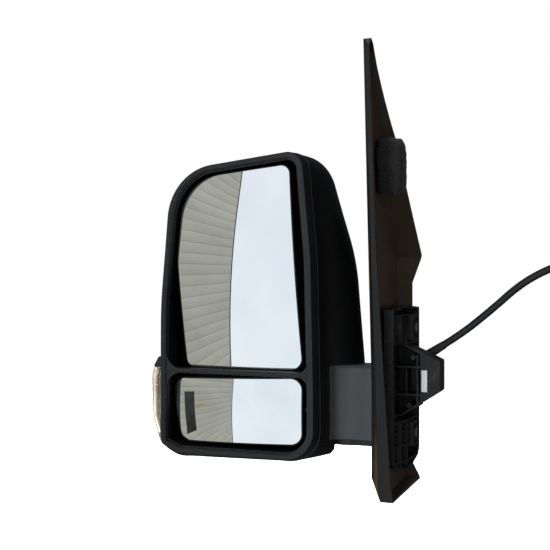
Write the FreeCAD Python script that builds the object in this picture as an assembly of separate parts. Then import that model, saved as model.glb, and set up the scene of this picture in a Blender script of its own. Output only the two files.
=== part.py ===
"""Door mirror of a large van: sail and base bracket, folding head, two adjustable glasses.

Frame: millimetres, +Z up, +X towards the door, +Y in the driving direction, glass facing -Y.
The origin is the centre of the two-bolt pattern on the bracket's door face (plane X = 0).
"""
import FreeCAD
import Part
import math
import os

V = FreeCAD.Vector

# ---------------------------------------------------------------- driving dimensions
# door interface
BOLT_SPACING = 130.0          # between the two door bolts, along Z
BOLT_HOLE_R = 3.5
INSERT_R = 5.5
INSERT_LENGTH = 12.0

# fold pivot: a vertical axis between the sail and the head
PIVOT_X = -80.0
PIVOT_Y = -22.0
SPINDLE_R = 8.0
SPINDLE_LENGTH = 84.0
BUSH_WALL = 1.5
HUB_R = 21.0
SEAT_R = 24.0
SHELF_TOP = -72.0
SHELF_THICK = 7.0
NECK_HALF_WIDTH = 20.0
HUB_TOP = 0.0
SPRING_FLOOR = -34.0
SPRING_COIL_R = 12.6
SPRING_WIRE_R = 1.8
SPRING_TOP = 2.0
SPRING_TURNS = 5
DETENT_R = 17.0
DETENT_BALL_R = 2.4

# sail
SAIL_OUTER_X = -35.3          # lower, upright part of the outboard face
SAIL_TOP_X = -46.0            # outboard face at the leaning upper end
SAIL_LEAN_Z = 0.0             # where the face starts to lean
SAIL_WALL = 2.6
SAIL_REAR_Y = -85.0
SAIL_FRONT_Y = 45.0
SAIL_TOP_Z = 413.0
SAIL_BOTTOM_Z = -136.0
SAIL_FOOT_X = -8.3            # where the chamfered foot would reach its lowest point
SAIL_FOOT_Z = -165.5
SAIL_CHAMFER_Z = -109.0       # upper end of the foot's chamfer
SAIL_BEVEL_DEPTH = 7.5        # along Y, of the bevel on the long rear edge

# arm (part of the moving head)
ARM_HALF_WIDTH = 24.0
ARM_END_R = 44.0
ARM_TOP_Z = 19.0
ARM_BOTTOM_Z = -71.4
ARM_WALL = 2.6
SEAM = 0.5                    # gap between neighbouring covers
SECTION_POINTS = 72           # points interpolated round each cover section

# head: planes along Y
RIM_Y = -85.0
BEZEL_BACK_Y = -75.0
RIM_WIDTH = 8.0
TUNNEL_WALL = 2.2
LEDGE_Y = -79.5               # small step inside the rim
LEDGE_DEPTH = 3.0
LEDGE_WIDTH = 1.3
TUNNEL_BACK_Y = -46.0
BAND_THICK = 2.6
COVER_WALL = 2.6
PLATE_Y = -21.0
PLATE_THICK = 4.0

# divider between the glasses
DIVIDER_BOTTOM = 5.2
DIVIDER_TOP = 11.4

# glasses
GLASS_THICK = 2.0
PAD_THICK = 0.8
HOLDER_THICK = 2.5
HOLDER_LIP = 1.6
HOLDER_FIT = 0.25
MAIN_RADIUS = 1400.0
LOWER_RADIUS = 500.0
MAIN_APEX_Y = -75.0
LOWER_APEX_Y = -77.0
MAIN_PIVOT = V(-215.0, -54.0, 140.0)
LOWER_PIVOT = V(-212.0, -56.0, -38.0)
PAN_ROD_OFFSET = 44.0         # adjusting screws beside and below the pivot
TILT_ROD_OFFSET = 38.0
EAR_R = 4.4
PIN_R = 2.5
RUNNING = 0.05                # radial clearance of a running fit

# lamp
LAMP_LEFT_X = -330.0
LAMP_TOP_Z = 12.0
LAMP_BOTTOM_Z = -84.0
LAMP_BACK_X = -317.0          # plane between the lens and its base plate
LAMP_REAR_Y = -79.0
LAMP_FRONT_Y = 2.0
LENS_WALL = 2.0

# cable
CABLE_R = 4.5
GROMMET_R = 8.6
COIL_R = 50.0
COIL_CENTRE = V(224.0, 12.0, 98.0)
COIL_TURN_PITCH = 9.6
CABLE_ROUTE = [
    V(-4.0, 12.0, 20.6),
    V(48.0, 12.0, 52.5),
    V(92.0, 12.0, 89.0),
    V(124.0, 12.0, 118.5),
    V(158.0, 12.0, 138.0),
    V(190.0, 12.0, 147.0),
    V(224.0, 12.0, 148.0),
]


# ---------------------------------------------------------------- helpers
def box(x0, x1, y0, y1, z0, z1):
    """Box between two corners."""
    return Part.makeBox(x1 - x0, y1 - y0, z1 - z0, V(x0, y0, z0))


def rod(start, direction, length, radius):
    """Cylinder from a point, along a direction."""
    return Part.makeCylinder(radius, length, start, direction)


def fuse(shapes):
    """One shape from several that touch or overlap."""
    first = shapes[0]
    if len(shapes) == 1:
        return first
    return first.fuse(shapes[1:]).removeSplitter()


def rounded_wire(corners):
    """Closed wire through 3-D corners, each (point, radius), rounded with tangent arcs."""
    starts = []
    arcs = []
    count = len(corners)
    for i in range(count):
        point, radius = corners[i]
        back = (corners[i - 1][0] - point).normalize()
        ahead = (corners[(i + 1) % count][0] - point).normalize()
        if radius <= 0:
            starts.append((point, point))
            arcs.append(None)
            continue
        half = back.getAngle(ahead) / 2
        reach = radius / math.tan(half)
        inward = (back + ahead).normalize()
        middle = point + inward * (radius / math.sin(half) - radius)
        starts.append((point + back * reach, point + ahead * reach))
        arcs.append(middle)
    edges = []
    for i in range(count):
        entry, leave = starts[i]
        if arcs[i] is not None:
            edges.append(Part.Arc(entry, arcs[i], leave).toShape())
        following = starts[(i + 1) % count][0]
        if (following - leave).Length > 1e-6:
            edges.append(Part.LineSegment(leave, following).toShape())
    return Part.Wire(edges)


def outline_xz(corners, y):
    """Rounded outline in a plane of constant Y from (x, z, radius) corners."""
    return rounded_wire([(V(x, y, z), r) for x, z, r in corners])


def outline_yz(corners, x):
    """Rounded outline in a plane of constant X from (y, z, radius) corners."""
    return rounded_wire([(V(x, y, z), r) for y, z, r in corners])


def outline_xy(corners, z):
    """Rounded outline in a plane of constant Z from (x, y, radius) corners."""
    return rounded_wire([(V(x, y, z), r) for x, y, r in corners])


def prism(wire, vector):
    """Solid swept from a closed flat wire."""
    return Part.Face(wire).extrude(vector)


def grown(wire, distance):
    """Flat wire moved outwards (positive) or inwards (negative)."""
    return wire.makeOffset2D(distance)


def block_xz(corners, y0, y1, offset=0.0):
    """Prism along Y from (x, z, radius) corners, optionally grown or shrunk."""
    wire = outline_xz(corners, y0)
    if offset:
        wire = grown(wire, offset)
    return prism(wire, V(0, y1 - y0, 0))


def ring_y(centre, outer_r, inner_r, y0, y1):
    """Washer-shaped solid about an axis along Y."""
    base = V(centre.x, y0, centre.z)
    outside = rod(base, V(0, 1, 0), y1 - y0, outer_r)
    return outside.cut(rod(base - V(0, 1, 0), V(0, 1, 0), y1 - y0 + 2, inner_r))


def group(shapes):
    """Several separate solids kept together in one node."""
    return Part.makeCompound(shapes)


def export(shape, node):
    """Write one node."""
    shape.exportStep("parts/" + node + ".step")
    solids = len(shape.Solids)
    print("%-22s solids %2d  volume %9.1f mm3  valid %s" % (node, solids, shape.Volume, shape.isValid()))


# ---------------------------------------------------------------- shared outlines
RIM = [
    (-122.0, 282.5, 22.0),
    (-299.0, 262.5, 70.0),
    (-314.0, 90.0, 600.0),
    (-314.5, -86.0, 9.0),
    (-288.0, -97.0, 25.0),
    (-106.5, -96.0, 38.0),
    (-106.5, -10.0, 250.0),
    (-110.0, 150.0, 600.0),
]

BEZEL_BACK = [
    (-116.0, 281.5, 22.0),
    (-299.0, 261.5, 70.0),
    (-314.2, 90.0, 600.0),
    (-314.5, -86.0, 10.0),
    (-288.0, -97.5, 26.0),
    (-100.6, -95.0, 38.0),
    (-100.6, -10.0, 250.0),
    (-104.0, 150.0, 600.0),
]

# outer surface of the covers behind the bezel, front to back: (Y, corners)
COVER_SECTIONS = [
    (BEZEL_BACK_Y, [
        (-115.6, 281.8, 22.0),
        (-299.4, 261.9, 70.0),
        (-314.6, 90.0, 600.0),
        (-314.9, -90.0, 11.0),
        (-293.0, -101.5, 20.0),
        (-99.8, -97.0, 39.0),
        (-100.0, -10.0, 250.0),
        (-103.4, 150.0, 600.0),
    ]),
    (-45.0, [
        (-107.0, 281.0, 30.0),
        (-297.0, 261.0, 72.0),
        (-313.0, 90.0, 500.0),
        (-313.0, -88.5, 14.0),
        (-291.0, -101.5, 23.0),
        (-83.5, -95.0, 36.0),
        (-83.5, -10.0, 250.0),
        (-89.0, 150.0, 500.0),
    ]),
    (-10.0, [
        (-112.0, 275.0, 42.0),
        (-284.0, 251.0, 74.0),
        (-300.0, 90.0, 400.0),
        (-300.0, -76.0, 24.0),
        (-276.0, -93.0, 30.0),
        (-64.0, -84.0, 30.0),
        (-62.5, -10.0, 250.0),
        (-75.0, 150.0, 300.0),
    ]),
    (25.0, [
        (-136.0, 248.0, 52.0),
        (-262.0, 228.0, 70.0),
        (-272.0, 90.0, 300.0),
        (-271.0, -56.0, 30.0),
        (-246.0, -74.0, 30.0),
        (-92.0, -62.0, 34.0),
        (-88.0, -10.0, 200.0),
        (-101.0, 150.0, 200.0),
    ]),
    (44.0, [
        (-156.0, 204.0, 36.0),
        (-238.0, 192.0, 36.0),
        (-244.0, 90.0, 200.0),
        (-242.0, -24.0, 14.0),
        (-224.0, -44.0, 12.0),
        (-126.0, -34.0, 30.0),
        (-122.0, 10.0, 60.0),
        (-130.0, 120.0, 150.0),
    ]),
]

MAIN_GLASS = [
    (-143.7, 266.4, 11.0),
    (-286.0, 251.5, 58.0),
    (-294.5, 150.0, 150.0),
    (-282.5, 13.8, 9.0),
    (-126.2, 13.8, 14.0),
]

LOWER_GLASS = [
    (-126.6, 2.6, 14.0),
    (-300.0, -3.0, 14.0),
    (-298.0, -38.0, 80.0),
    (-289.0, -81.5, 13.0),
    (-126.6, -78.0, 14.0),
]

LAMP = [
    (-316.0, LAMP_TOP_Z, 0.0),
    (LAMP_LEFT_X + 3, LAMP_TOP_Z, 2.0),
    (LAMP_LEFT_X, LAMP_TOP_Z - 12, 8.0),
    (LAMP_LEFT_X + 1.5, -52.0, 30.0),
    (-319.0, LAMP_BOTTOM_Z, 4.0),
    (-316.0, LAMP_BOTTOM_Z, 0.0),
]


def pivot(z):
    """Point on the fold axis."""
    return V(PIVOT_X, PIVOT_Y, z)


# ---------------------------------------------------------------- base: sail and bracket
def sail_outline(offset, x):
    """Side outline of the sail in the Y-Z plane."""
    corners = [
        (SAIL_REAR_Y, SAIL_BOTTOM_Z, 2.5),
        (SAIL_REAR_Y, SAIL_TOP_Z - 13, 8.0),
        (SAIL_REAR_Y + 10, SAIL_TOP_Z, 5.0),
        (SAIL_REAR_Y + 18, SAIL_TOP_Z - 8, 5.0),
        (SAIL_REAR_Y + 27, SAIL_TOP_Z - 33, 9.0),
        (SAIL_FRONT_Y, 152.0, 20.0),
        (SAIL_FRONT_Y, SAIL_BOTTOM_Z + 5, 5.0),
    ]
    wire = outline_yz(corners, x)
    if offset:
        wire = grown(wire, offset)
    return wire


def sail_section(offset):
    """Section in the X-Z plane: chamfered foot, upright face, leaning upper part."""
    lean = (SAIL_TOP_X - SAIL_OUTER_X) / (SAIL_TOP_Z - SAIL_LEAN_Z)
    over = 40.0
    corners = [
        (SAIL_FOOT_X, SAIL_FOOT_Z, 0.0),
        (SAIL_OUTER_X, SAIL_CHAMFER_Z, 0.0),
        (SAIL_OUTER_X, SAIL_LEAN_Z, 0.0),
        (SAIL_TOP_X + lean * over, SAIL_TOP_Z + over, 0.0),
        (70.0, SAIL_TOP_Z + over, 0.0),
        (70.0, SAIL_FOOT_Z, 0.0),
    ]
    return block_xz(corners, SAIL_REAR_Y - 10, SAIL_FRONT_Y + 10, offset)


def rear_bevel_tool(inset):
    """Wedge that takes off the long rear corner, wider towards the foot."""
    depth = SAIL_BEVEL_DEPTH
    sections = []
    for z, arris_x, face_x in (
        (-175.0, -21.5, SAIL_OUTER_X),
        (SAIL_LEAN_Z, -28.3, SAIL_OUTER_X),
        (SAIL_TOP_Z + 40, -43.0, SAIL_TOP_X),
    ):
        arris = V(arris_x, SAIL_REAR_Y, z)
        along = V(face_x, SAIL_REAR_Y + depth, z) - arris
        inward = V(along.y, -along.x, 0).normalize() * inset
        near = arris - along + inward
        far = arris + along * 3.0 + inward
        sections.append(Part.makePolygon([near, far, V(-90.0, SAIL_REAR_Y - 25, z), near]))
    return Part.makeLoft(sections, True, True)


def sail_body(inset):
    """Closed body of the sail, or of the space inside its walls."""
    body = prism(sail_outline(-inset, -60.0), V(120.0, 0, 0)).common(sail_section(-inset))
    return body.cut(rear_bevel_tool(inset))


def lip_surface_tool():
    """Everything on the door side of the sail's lip, as one loft along Y."""
    far = 90.0
    low = -170.0
    high = 450.0
    rear_lip = [(-7.0, low), (-8.4, -132.0), (-10.8, -106.0), (-24.8, 97.0), (-30.0, 165.0),
                (-34.2, 300.0), (-38.0, high)]
    front_lip = [(-4.7, low), (-4.7, -131.0), (-15.4, -112.0), (-15.4, 121.0), (-1.8, 155.0),
                 (-8.5, 300.0), (-43.0, high)]

    def section(lip, y):
        points = [V(x, y, z) for x, z in lip]
        points = [V(far, y, low)] + points + [V(far, y, high), V(far, y, low)]
        return Part.makePolygon(points)

    return Part.makeLoft([section(rear_lip, -95.0), section(front_lip, 50.0)], True, True)


def sail_cover():
    """Thin triangular cover with turned edges, a pivot collar and inner ribs."""
    shell = sail_body(0.0).cut(sail_body(SAIL_WALL))
    ribs = []
    for y in (-57.0, -18.0):
        ribs.append(box(-43.0, -36.6, y, y + 1.6, 196.0, 222.0))
    for y in (-72.0, 34.0):
        ribs.append(box(SAIL_OUTER_X + 1, SAIL_OUTER_X + 7, y, y + 1.6, -105.0, 100.0))
    ribs = [r.common(sail_body(1.0)) for r in ribs]
    shell = fuse([shell] + ribs)
    return pivot_collar(shell).cut(lip_surface_tool())


def pivot_collar(shell):
    """Add the raised socket round the arm's end, and the neck's opening."""
    socket = box(-41.0, SAIL_OUTER_X + SAIL_WALL, PIVOT_Y - 32, PIVOT_Y + 32, -86.0, 27.0)
    front_edges = [e for e in socket.Edges if e.BoundBox.XMax < -40.9]
    socket = socket.makeFillet(4.0, front_edges)
    shell = shell.fuse(socket)
    pocket = rod(pivot(SHELF_TOP + 0.2), V(0, 0, 1), 94.0, ARM_END_R + 1.3)
    shell = shell.cut(pocket.common(box(-60.0, -34.2, -80.0, 40.0, -100.0, 60.0)))
    gap = 0.3
    neck_hole = box(-50.0, SAIL_OUTER_X + SAIL_WALL + 2,
                    PIVOT_Y - NECK_HALF_WIDTH - gap, PIVOT_Y + NECK_HALF_WIDTH + gap,
                    SHELF_TOP - SHELF_THICK - gap, SHELF_TOP + gap)
    return shell.cut(neck_hole).removeSplitter()


def bolt_points(x):
    """The two door bolt centres at a plane of constant X."""
    return [V(x, 0.0, BOLT_SPACING / 2), V(x, 0.0, -BOLT_SPACING / 2)]


def bracket_frame():
    """Open-fronted tray of the base bracket, ribbed like a casting."""
    back = -24.0
    tray = prism(outline_yz([
        (-64.0, -100.0, 8.0),
        (-64.0, 90.0, 4.0),
        (-30.0, 93.0, 4.0),
        (24.0, 90.0, 4.0),
        (26.0, -94.0, 16.0),
        (-30.0, -107.0, 10.0),
    ], back), V(22.0, 0, 0))
    hollow = prism(outline_yz([
        (-61.0, -97.0, 6.0),
        (-61.0, 87.0, 2.0),
        (-30.0, 90.0, 2.0),
        (21.0, 87.0, 2.0),
        (23.0, -92.0, 14.0),
        (-30.0, -104.0, 8.0),
    ], back + 3.0), V(30.0, 0, 0))
    return tray.cut(hollow)


def bracket_ribs():
    """Walls and ribs inside the tray."""
    front = -3.0
    ribs = []
    for z in (-96.0, -48.0, 46.0, 80.0):
        ribs.append(box(-22.0, front, -62.0, 24.0, z, z + 2.4))
    for y in (-44.0, -24.0):
        ribs.append(box(-22.0, front - 2, y, y + 2.2, -102.0, -46.0))
    for y in (-42.0, -26.0):
        ribs.append(box(-22.0, front - 4, y, y + 2.2, 46.0, 82.0))
    for z in (-76.0, -60.0):
        ribs.append(box(-22.0, front - 1, -62.0, -12.0, z, z + 2.0))
    arc = ring_x(V(-22.0, -40.0, 62.0), 24.0, 21.6, -22.0, -6.0)
    ribs.append(arc.common(box(-22.0, -6.0, -62.0, -18.0, 47.0, 82.0)))
    return ribs


def ring_x(centre, outer_r, inner_r, x0, x1):
    """Washer-shaped solid about an axis along X."""
    base = V(x0, centre.y, centre.z)
    outside = rod(base, V(1, 0, 0), x1 - x0, outer_r)
    return outside.cut(rod(base - V(1, 0, 0), V(1, 0, 0), x1 - x0 + 2, inner_r))


def bolt_boss(centre):
    """Square frame round a bolt tube, joined by cross ribs."""
    half = 15.0
    wall = 2.4
    outer = box(-22.0, 0.0, -half, half, centre.z - half, centre.z + half)
    inner = box(-19.0, 1.0, -half + wall, half - wall, centre.z - half + wall, centre.z + half - wall)
    frame = outer.cut(inner)
    tube = rod(V(-22.0, centre.y, centre.z), V(1, 0, 0), 22.0, INSERT_R + 3)
    cross = [
        box(-22.0, -1.5, -half + 1, half - 1, centre.z - 1, centre.z + 1),
        box(-22.0, -1.5, -1.0, 1.0, centre.z - half + 1, centre.z + half - 1),
    ]
    boss = fuse([frame, tube] + cross)
    boss = boss.cut(rod(V(-INSERT_LENGTH, 0, centre.z), V(1, 0, 0), INSERT_LENGTH + 1, INSERT_R))
    return boss


def nose_profile(inset):
    """Side profile of the locating nose in the X-Z plane."""
    return [
        (-23.0, 49.0 - inset, 0.0),
        (-12.0, 48.0 - inset, 4.0),
        (35.0 - inset, 26.5 - inset, 3.0),
        (35.0 - inset, -10.5 + inset, 3.0),
        (-12.0, -42.0 + inset, 4.0),
        (-23.0, -45.0 + inset, 0.0),
    ]


def nose():
    """Trapezoid nose with an open, ribbed rear pocket, a closed tip and round pegs."""
    y_rear = -27.0
    y_front = 0.5
    body = block_xz(nose_profile(0.0), y_rear, y_front)
    pocket = block_xz(nose_profile(2.6), y_rear - 1, y_front - 2.5)
    pocket = pocket.common(box(-30.0, 11.0, y_rear - 1, y_front, -60.0, 60.0))
    tip_pocket = block_xz(nose_profile(2.6), y_rear + 2.5, y_front + 1)
    tip_pocket = tip_pocket.common(box(14.0, 40.0, y_rear, y_front + 1, -60.0, 60.0))
    body = body.cut(pocket).cut(tip_pocket)
    ribs = [
        box(-20.0, 13.0, y_rear + 0.5, y_front - 1, 17.0, 19.4),
        box(-20.0, 13.0, y_rear + 0.5, y_front - 1, -17.0, -14.6),
        box(6.5, 8.7, y_rear + 0.5, y_front - 1, -30.0, 33.0),
        box(-8.0, -6.0, y_rear + 6, y_front - 1, -17.0, 19.0),
    ]
    return fuse([body] + ribs)


def pegs():
    """Small round pegs on the bracket's rear face."""
    made = []
    for x, z in ((-15.0, 27.0), (-15.0, -4.0), (-15.0, -32.0)):
        made.append(rod(V(x, -67.5, z), V(0, 1, 0), 5.0, 2.4))
    for x, z in ((3.0, 30.0), (-2.0, -28.0)):
        made.append(rod(V(x, -29.5, z), V(0, 1, 0), 28.0, 3.0))
    return made


def slant_tool():
    """Space in front of the bracket's slanted rear half."""
    points = [
        V(-12.5, -64.0, -130.0),
        V(-2.5, -16.0, -130.0),
        V(12.0, -16.0, -130.0),
        V(12.0, -75.0, -130.0),
        V(-14.8, -75.0, -130.0),
        V(-12.5, -64.0, -130.0),
    ]
    return prism(Part.makePolygon(points), V(0, 0, 260.0))


def base_bracket():
    """Ribbed base that bolts to the door; carries the foot, the nose and the cable outlet."""
    frame = bracket_frame().cut(slant_tool())
    bosses = [bolt_boss(p) for p in bolt_points(0.0)]
    keep_clear = [box(-21.0, 1.0, -15.0, 15.0, p.z - 15, p.z + 15) for p in bolt_points(0.0)]
    ribs = [r.cut(keep_clear + [slant_tool()]) for r in bracket_ribs()]
    solid = fuse([frame] + ribs + bosses + [nose()] + pegs())
    cable_way = (CABLE_ROUTE[1] - CABLE_ROUTE[0]).normalize()
    outlet = rod(CABLE_ROUTE[0] - cable_way * 40.0, cable_way, 42.0, GROMMET_R + 0.3)
    solid = solid.cut(outlet)
    holes = [rod(p + V(-INSERT_LENGTH - 14, 0, 0), V(1, 0, 0), 20.0, BOLT_HOLE_R) for p in bolt_points(0.0)]
    solid = solid.cut(holes)
    return solid.cut(screw_holes(foot_screw_points(), -26.0, 8.0, 2.3)).removeSplitter()


def screw_holes(points, x, length, radius):
    """Through holes along X at (y, z) points."""
    return [rod(V(x, y, z), V(1, 0, 0), length, radius) for y, z in points]


def bolt_inserts():
    """Steel bushes pressed into the two bolt bosses."""
    made = []
    for p in bolt_points(-INSERT_LENGTH):
        made.append(ring_x(p, INSERT_R, BOLT_HOLE_R, -INSERT_LENGTH, 0.0))
    return group(made)


def foot_screw_points():
    """Screws that clamp bracket, foot and sail together, as (y, z)."""
    return [(-52.0, -86.0), (8.0, -86.0), (-52.0, 36.0), (8.0, 36.0)]


def pivot_foot():
    """Die-cast foot: a plate inside the sail with a thin shelf under the arm."""
    plate = prism(outline_yz([
        (-60.0, -92.0, 6.0),
        (-60.0, 46.0, 6.0),
        (16.0, 46.0, 6.0),
        (16.0, -92.0, 6.0),
    ], -32.2), V(5.0, 0, 0))
    ribs = [box(-28.0, -24.2, y, y + 3.0, -88.0, 42.0) for y in (-46.0, 0.0)]
    neck = box(PIVOT_X, -28.0, PIVOT_Y - NECK_HALF_WIDTH, PIVOT_Y + NECK_HALF_WIDTH,
               SHELF_TOP - SHELF_THICK, SHELF_TOP)
    seat = rod(pivot(SHELF_TOP - SHELF_THICK), V(0, 0, 1), SHELF_THICK, SEAT_R)
    foot = fuse([plate, neck, seat] + ribs)
    foot = foot.cut(rod(pivot(-90.0), V(0, 0, 1), 40.0, SPINDLE_R - 1))
    for ball in detent_points():
        foot = foot.cut(Part.makeSphere(DETENT_BALL_R + 0.02, ball))
    return foot.cut(screw_holes(foot_screw_points(), -33.0, 10.0, 2.3))


def detent_points():
    """Centres of the three detent balls."""
    return [pivot(SHELF_TOP + 0.4) + V(DETENT_R * math.cos(a), DETENT_R * math.sin(a), 0)
            for a in (math.radians(90), math.radians(210), math.radians(330))]


def detent_balls():
    """Steel balls that click the fold positions."""
    return group([Part.makeSphere(DETENT_BALL_R, p) for p in detent_points()])


def pivot_spindle():
    """Vertical steel spindle with a pressed root and a threaded top."""
    root = rod(pivot(SHELF_TOP - SHELF_THICK), V(0, 0, 1), SHELF_THICK, SPINDLE_R - 1)
    shaft = rod(pivot(SHELF_TOP), V(0, 0, 1), SPINDLE_LENGTH, SPINDLE_R)
    thread = rod(pivot(SHELF_TOP + SPINDLE_LENGTH), V(0, 0, 1), 1.8, SPINDLE_R - 1)
    return fuse([root, shaft, thread])


def fold_spring():
    """Flat-ended coil spring that presses the hub onto the foot."""
    low = SPRING_FLOOR + 0.1 + SPRING_WIRE_R
    high = SPRING_TOP - SPRING_WIRE_R
    pitch = (high - low) / SPRING_TURNS
    helix = Part.makeHelix(pitch, high - low, SPRING_COIL_R)
    circle = Part.Wire(Part.makeCircle(SPRING_WIRE_R, V(SPRING_COIL_R, 0, 0), V(0, 1, 0)))
    coil = Part.Wire(helix).makePipeShell([circle], True, True)
    coil.translate(pivot(low))
    return coil


def spring_washer():
    """Thick washer between the spring and the nut."""
    disc = rod(pivot(SPRING_TOP), V(0, 0, 1), 2.6, 16.0)
    return disc.cut(rod(pivot(SPRING_TOP - 1), V(0, 0, 1), 6.0, SPINDLE_R))


def pivot_nut():
    """Hexagon nut that sets the fold friction."""
    across = 12.5
    points = [pivot(SPRING_TOP + 2.6) + V(across * math.cos(math.radians(60 * i)),
                                         across * math.sin(math.radians(60 * i)), 0) for i in range(7)]
    nut = prism(Part.makePolygon(points), V(0, 0, 7.0))
    return nut.cut(rod(pivot(0), V(0, 0, 1), 30.0, SPINDLE_R))


def pan_head_screw(tip, direction, length, shank_r, head_r):
    """Screw with a domed head at the far end of its shank."""
    shank = rod(tip, direction, length, shank_r)
    head = rod(tip + direction * length, direction, head_r * 0.55, head_r)
    rim = [e for e in head.Edges if e.Closed][0:1]
    head = head.makeFillet(head_r * 0.2, rim)
    recess = rod(tip + direction * (length + head_r * 0.25), direction, head_r, head_r * 0.4)
    return shank.fuse(head).cut(recess).removeSplitter()


def foot_screws():
    """Four screws through the bracket and the foot."""
    return group([pan_head_screw(V(-32.0, y, z), V(1, 0, 0), 11.2, 2.25, 4.4)
                  for y, z in foot_screw_points()])


def nose_label():
    """Blank label on the nose's rear face."""
    return box(12.6, 19.6, -27.35, -27.0, -11.5, 14.5)


def foam_block():
    """Soft noise block pressed into the sail."""
    return prism(outline_yz([
        (-52.0, 224.0, 9.0),
        (-57.0, 291.0, 9.0),
        (-38.0, 300.0, 9.0),
        (-26.0, 291.0, 7.0),
        (-17.5, 226.0, 9.0),
    ], -38.0), V(34.0, 0, 0))


# ---------------------------------------------------------------- cable
def bend_radius(before, corner, after):
    """Radius of the largest soft arc that the two runs at a corner allow."""
    first = corner - before
    second = after - corner
    turn = first.getAngle(second)
    return 0.45 * min(first.Length, second.Length) / math.tan(turn / 2)


def cable_path(points):
    """Straight runs joined by tangent arcs."""
    edges = []
    here = points[0]
    for i in range(1, len(points) - 1):
        radius = bend_radius(points[i - 1], points[i], points[i + 1])
        back = (points[i - 1] - points[i]).normalize()
        ahead = (points[i + 1] - points[i]).normalize()
        half = back.getAngle(ahead) / 2
        reach = radius / math.tan(half)
        entry = points[i] + back * reach
        leave = points[i] + ahead * reach
        middle = points[i] + (back + ahead).normalize() * (radius / math.sin(half) - radius)
        edges.append(Part.LineSegment(here, entry).toShape())
        edges.append(Part.Arc(entry, middle, leave).toShape())
        print("  cable bend radius %.1f mm" % radius)
        here = leave
    edges.append(Part.LineSegment(here, points[-1]).toShape())
    return Part.Wire(edges)


def tube(points, radius):
    """Round tube along straight runs and tangent arcs."""
    path = cable_path(points)
    start = points[0]
    circle = Part.Wire(Part.makeCircle(radius, start, points[1] - start))
    solid = path.makePipeShell([circle], True, True)
    expected = math.pi * radius * radius * path.Length
    print("  tube %.1f mm long, volume ratio %.4f" % (path.Length, solid.Volume / expected))
    return solid


def cable():
    """Sheathed cable from the grommet to the coil."""
    return tube(CABLE_ROUTE, CABLE_R)


def cable_coil():
    """Outer shape of the put-away coil: turns side by side along Y."""
    inner = COIL_R - CABLE_R
    outer = COIL_R + CABLE_R
    y0 = COIL_CENTRE.y - CABLE_R
    y1 = COIL_CENTRE.y + COIL_TURN_PITCH + CABLE_R
    solid = ring_y(COIL_CENTRE, outer, inner, y0, y1)
    return solid.makeFillet(3.0, [e for e in solid.Edges if e.Closed and e.Curve.TypeId == "Part::GeomCircle"])


def tail_top():
    """Where the tail leaves the coil, on its outboard side."""
    return COIL_CENTRE + V(COIL_R, COIL_TURN_PITCH, 0)


def cable_tail():
    """Short straight end from the coil down to the connector."""
    return rod(tail_top(), V(0, 0, -1), 34.0, CABLE_R)


def cable_tie():
    """Narrow strap round the coil's section, at its lowest point."""
    half = 2.4
    wall = 1.2
    y0 = COIL_CENTRE.y - CABLE_R
    y1 = COIL_CENTRE.y + COIL_TURN_PITCH + CABLE_R
    low = COIL_CENTRE.z - COIL_R - CABLE_R
    high = COIL_CENTRE.z - COIL_R + CABLE_R + 0.2
    x = COIL_CENTRE.x
    strap = box(x - half, x + half, y0 - wall, y1 + wall, low - wall, high + wall)
    strap = strap.cut(box(x - half - 1, x + half + 1, y0 - 0.02, y1 + 0.02, low - 0.02, high))
    lock = box(x - 3.2, x + 3.2, y0 - wall - 4.5, y0 - wall, low + 1.0, low + 7.5)
    return strap.fuse(lock).removeSplitter()


def connector():
    """Generic multi-way plug with a keyed, stepped body and pin cavities."""
    top = tail_top() - V(0, 0, 34.0)
    collar = box(top.x - 7, top.x + 7, top.y - 6.5, top.y + 6.5, top.z - 8, top.z)
    body = box(top.x - 12, top.x + 12, top.y - 8, top.y + 8, top.z - 32, top.z - 8)
    key = box(top.x - 3, top.x + 3, top.y + 8, top.y + 10, top.z - 32, top.z - 12)
    solid = fuse([collar, body, key])
    cavities = []
    for i in range(4):
        for y in (-3.6, 3.6):
            x = top.x - 8.4 + 5.6 * i
            cavities.append(box(x - 1.5, x + 1.5, top.y + y - 1.5, top.y + y + 1.5, top.z - 33, top.z - 22))
    return solid.cut(cavities)


def connector_latch():
    """Springy latch lever on the plug."""
    top = tail_top() - V(0, 0, 34.0)
    face = top.y - 8
    foot = box(top.x - 4, top.x + 4, face - 2.4, face, top.z - 30, top.z - 26)
    lever = box(top.x - 4, top.x + 4, face - 4.0, face - 2.4, top.z - 30, top.z - 10)
    thumb = box(top.x - 4, top.x + 4, face - 5.2, face - 4.0, top.z - 15, top.z - 10)
    return fuse([foot, lever, thumb])


def cable_grommet():
    """Tapered rubber boot where the cable leaves the bracket."""
    start = CABLE_ROUTE[0]
    direction = (CABLE_ROUTE[1] - start).normalize()
    taper = Part.makeCone(7.4, 5.9, 14.0, start - direction * 14.0, direction)
    flange = rod(start - direction * 16.5, direction, 2.5, GROMMET_R)
    return fuse([taper, flange])


# ---------------------------------------------------------------- head: covers and frame
def smooth_section(corners, y, inset):
    """One closed smooth curve along a rounded outline, moved inwards by inset."""
    points = outline_xz(corners, y).discretize(Number=SECTION_POINTS + 1)[:-1]
    moved = []
    for i in range(SECTION_POINTS):
        along = points[(i + 1) % SECTION_POINTS] - points[i - 1]
        inward = V(-along.z, 0, along.x).normalize()
        moved.append(points[i] + inward * inset)
    curve = Part.BSplineCurve()
    curve.interpolate(Points=moved, PeriodicFlag=True)
    return Part.Wire(curve.toShape())


def cover_wires(inset):
    """Section wires of the cover's outer surface, or of a surface inside it."""
    wires = []
    last = COVER_SECTIONS[-1][0]
    for y, corners in COVER_SECTIONS:
        depth = y - max(inset, 0.0) if y == last else y
        wires.append(smooth_section(corners, depth, inset))
    return wires


def cover_solid(inset):
    """Closed solid inside the cover's outer surface."""
    return Part.makeLoft(cover_wires(inset), True, False)


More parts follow.
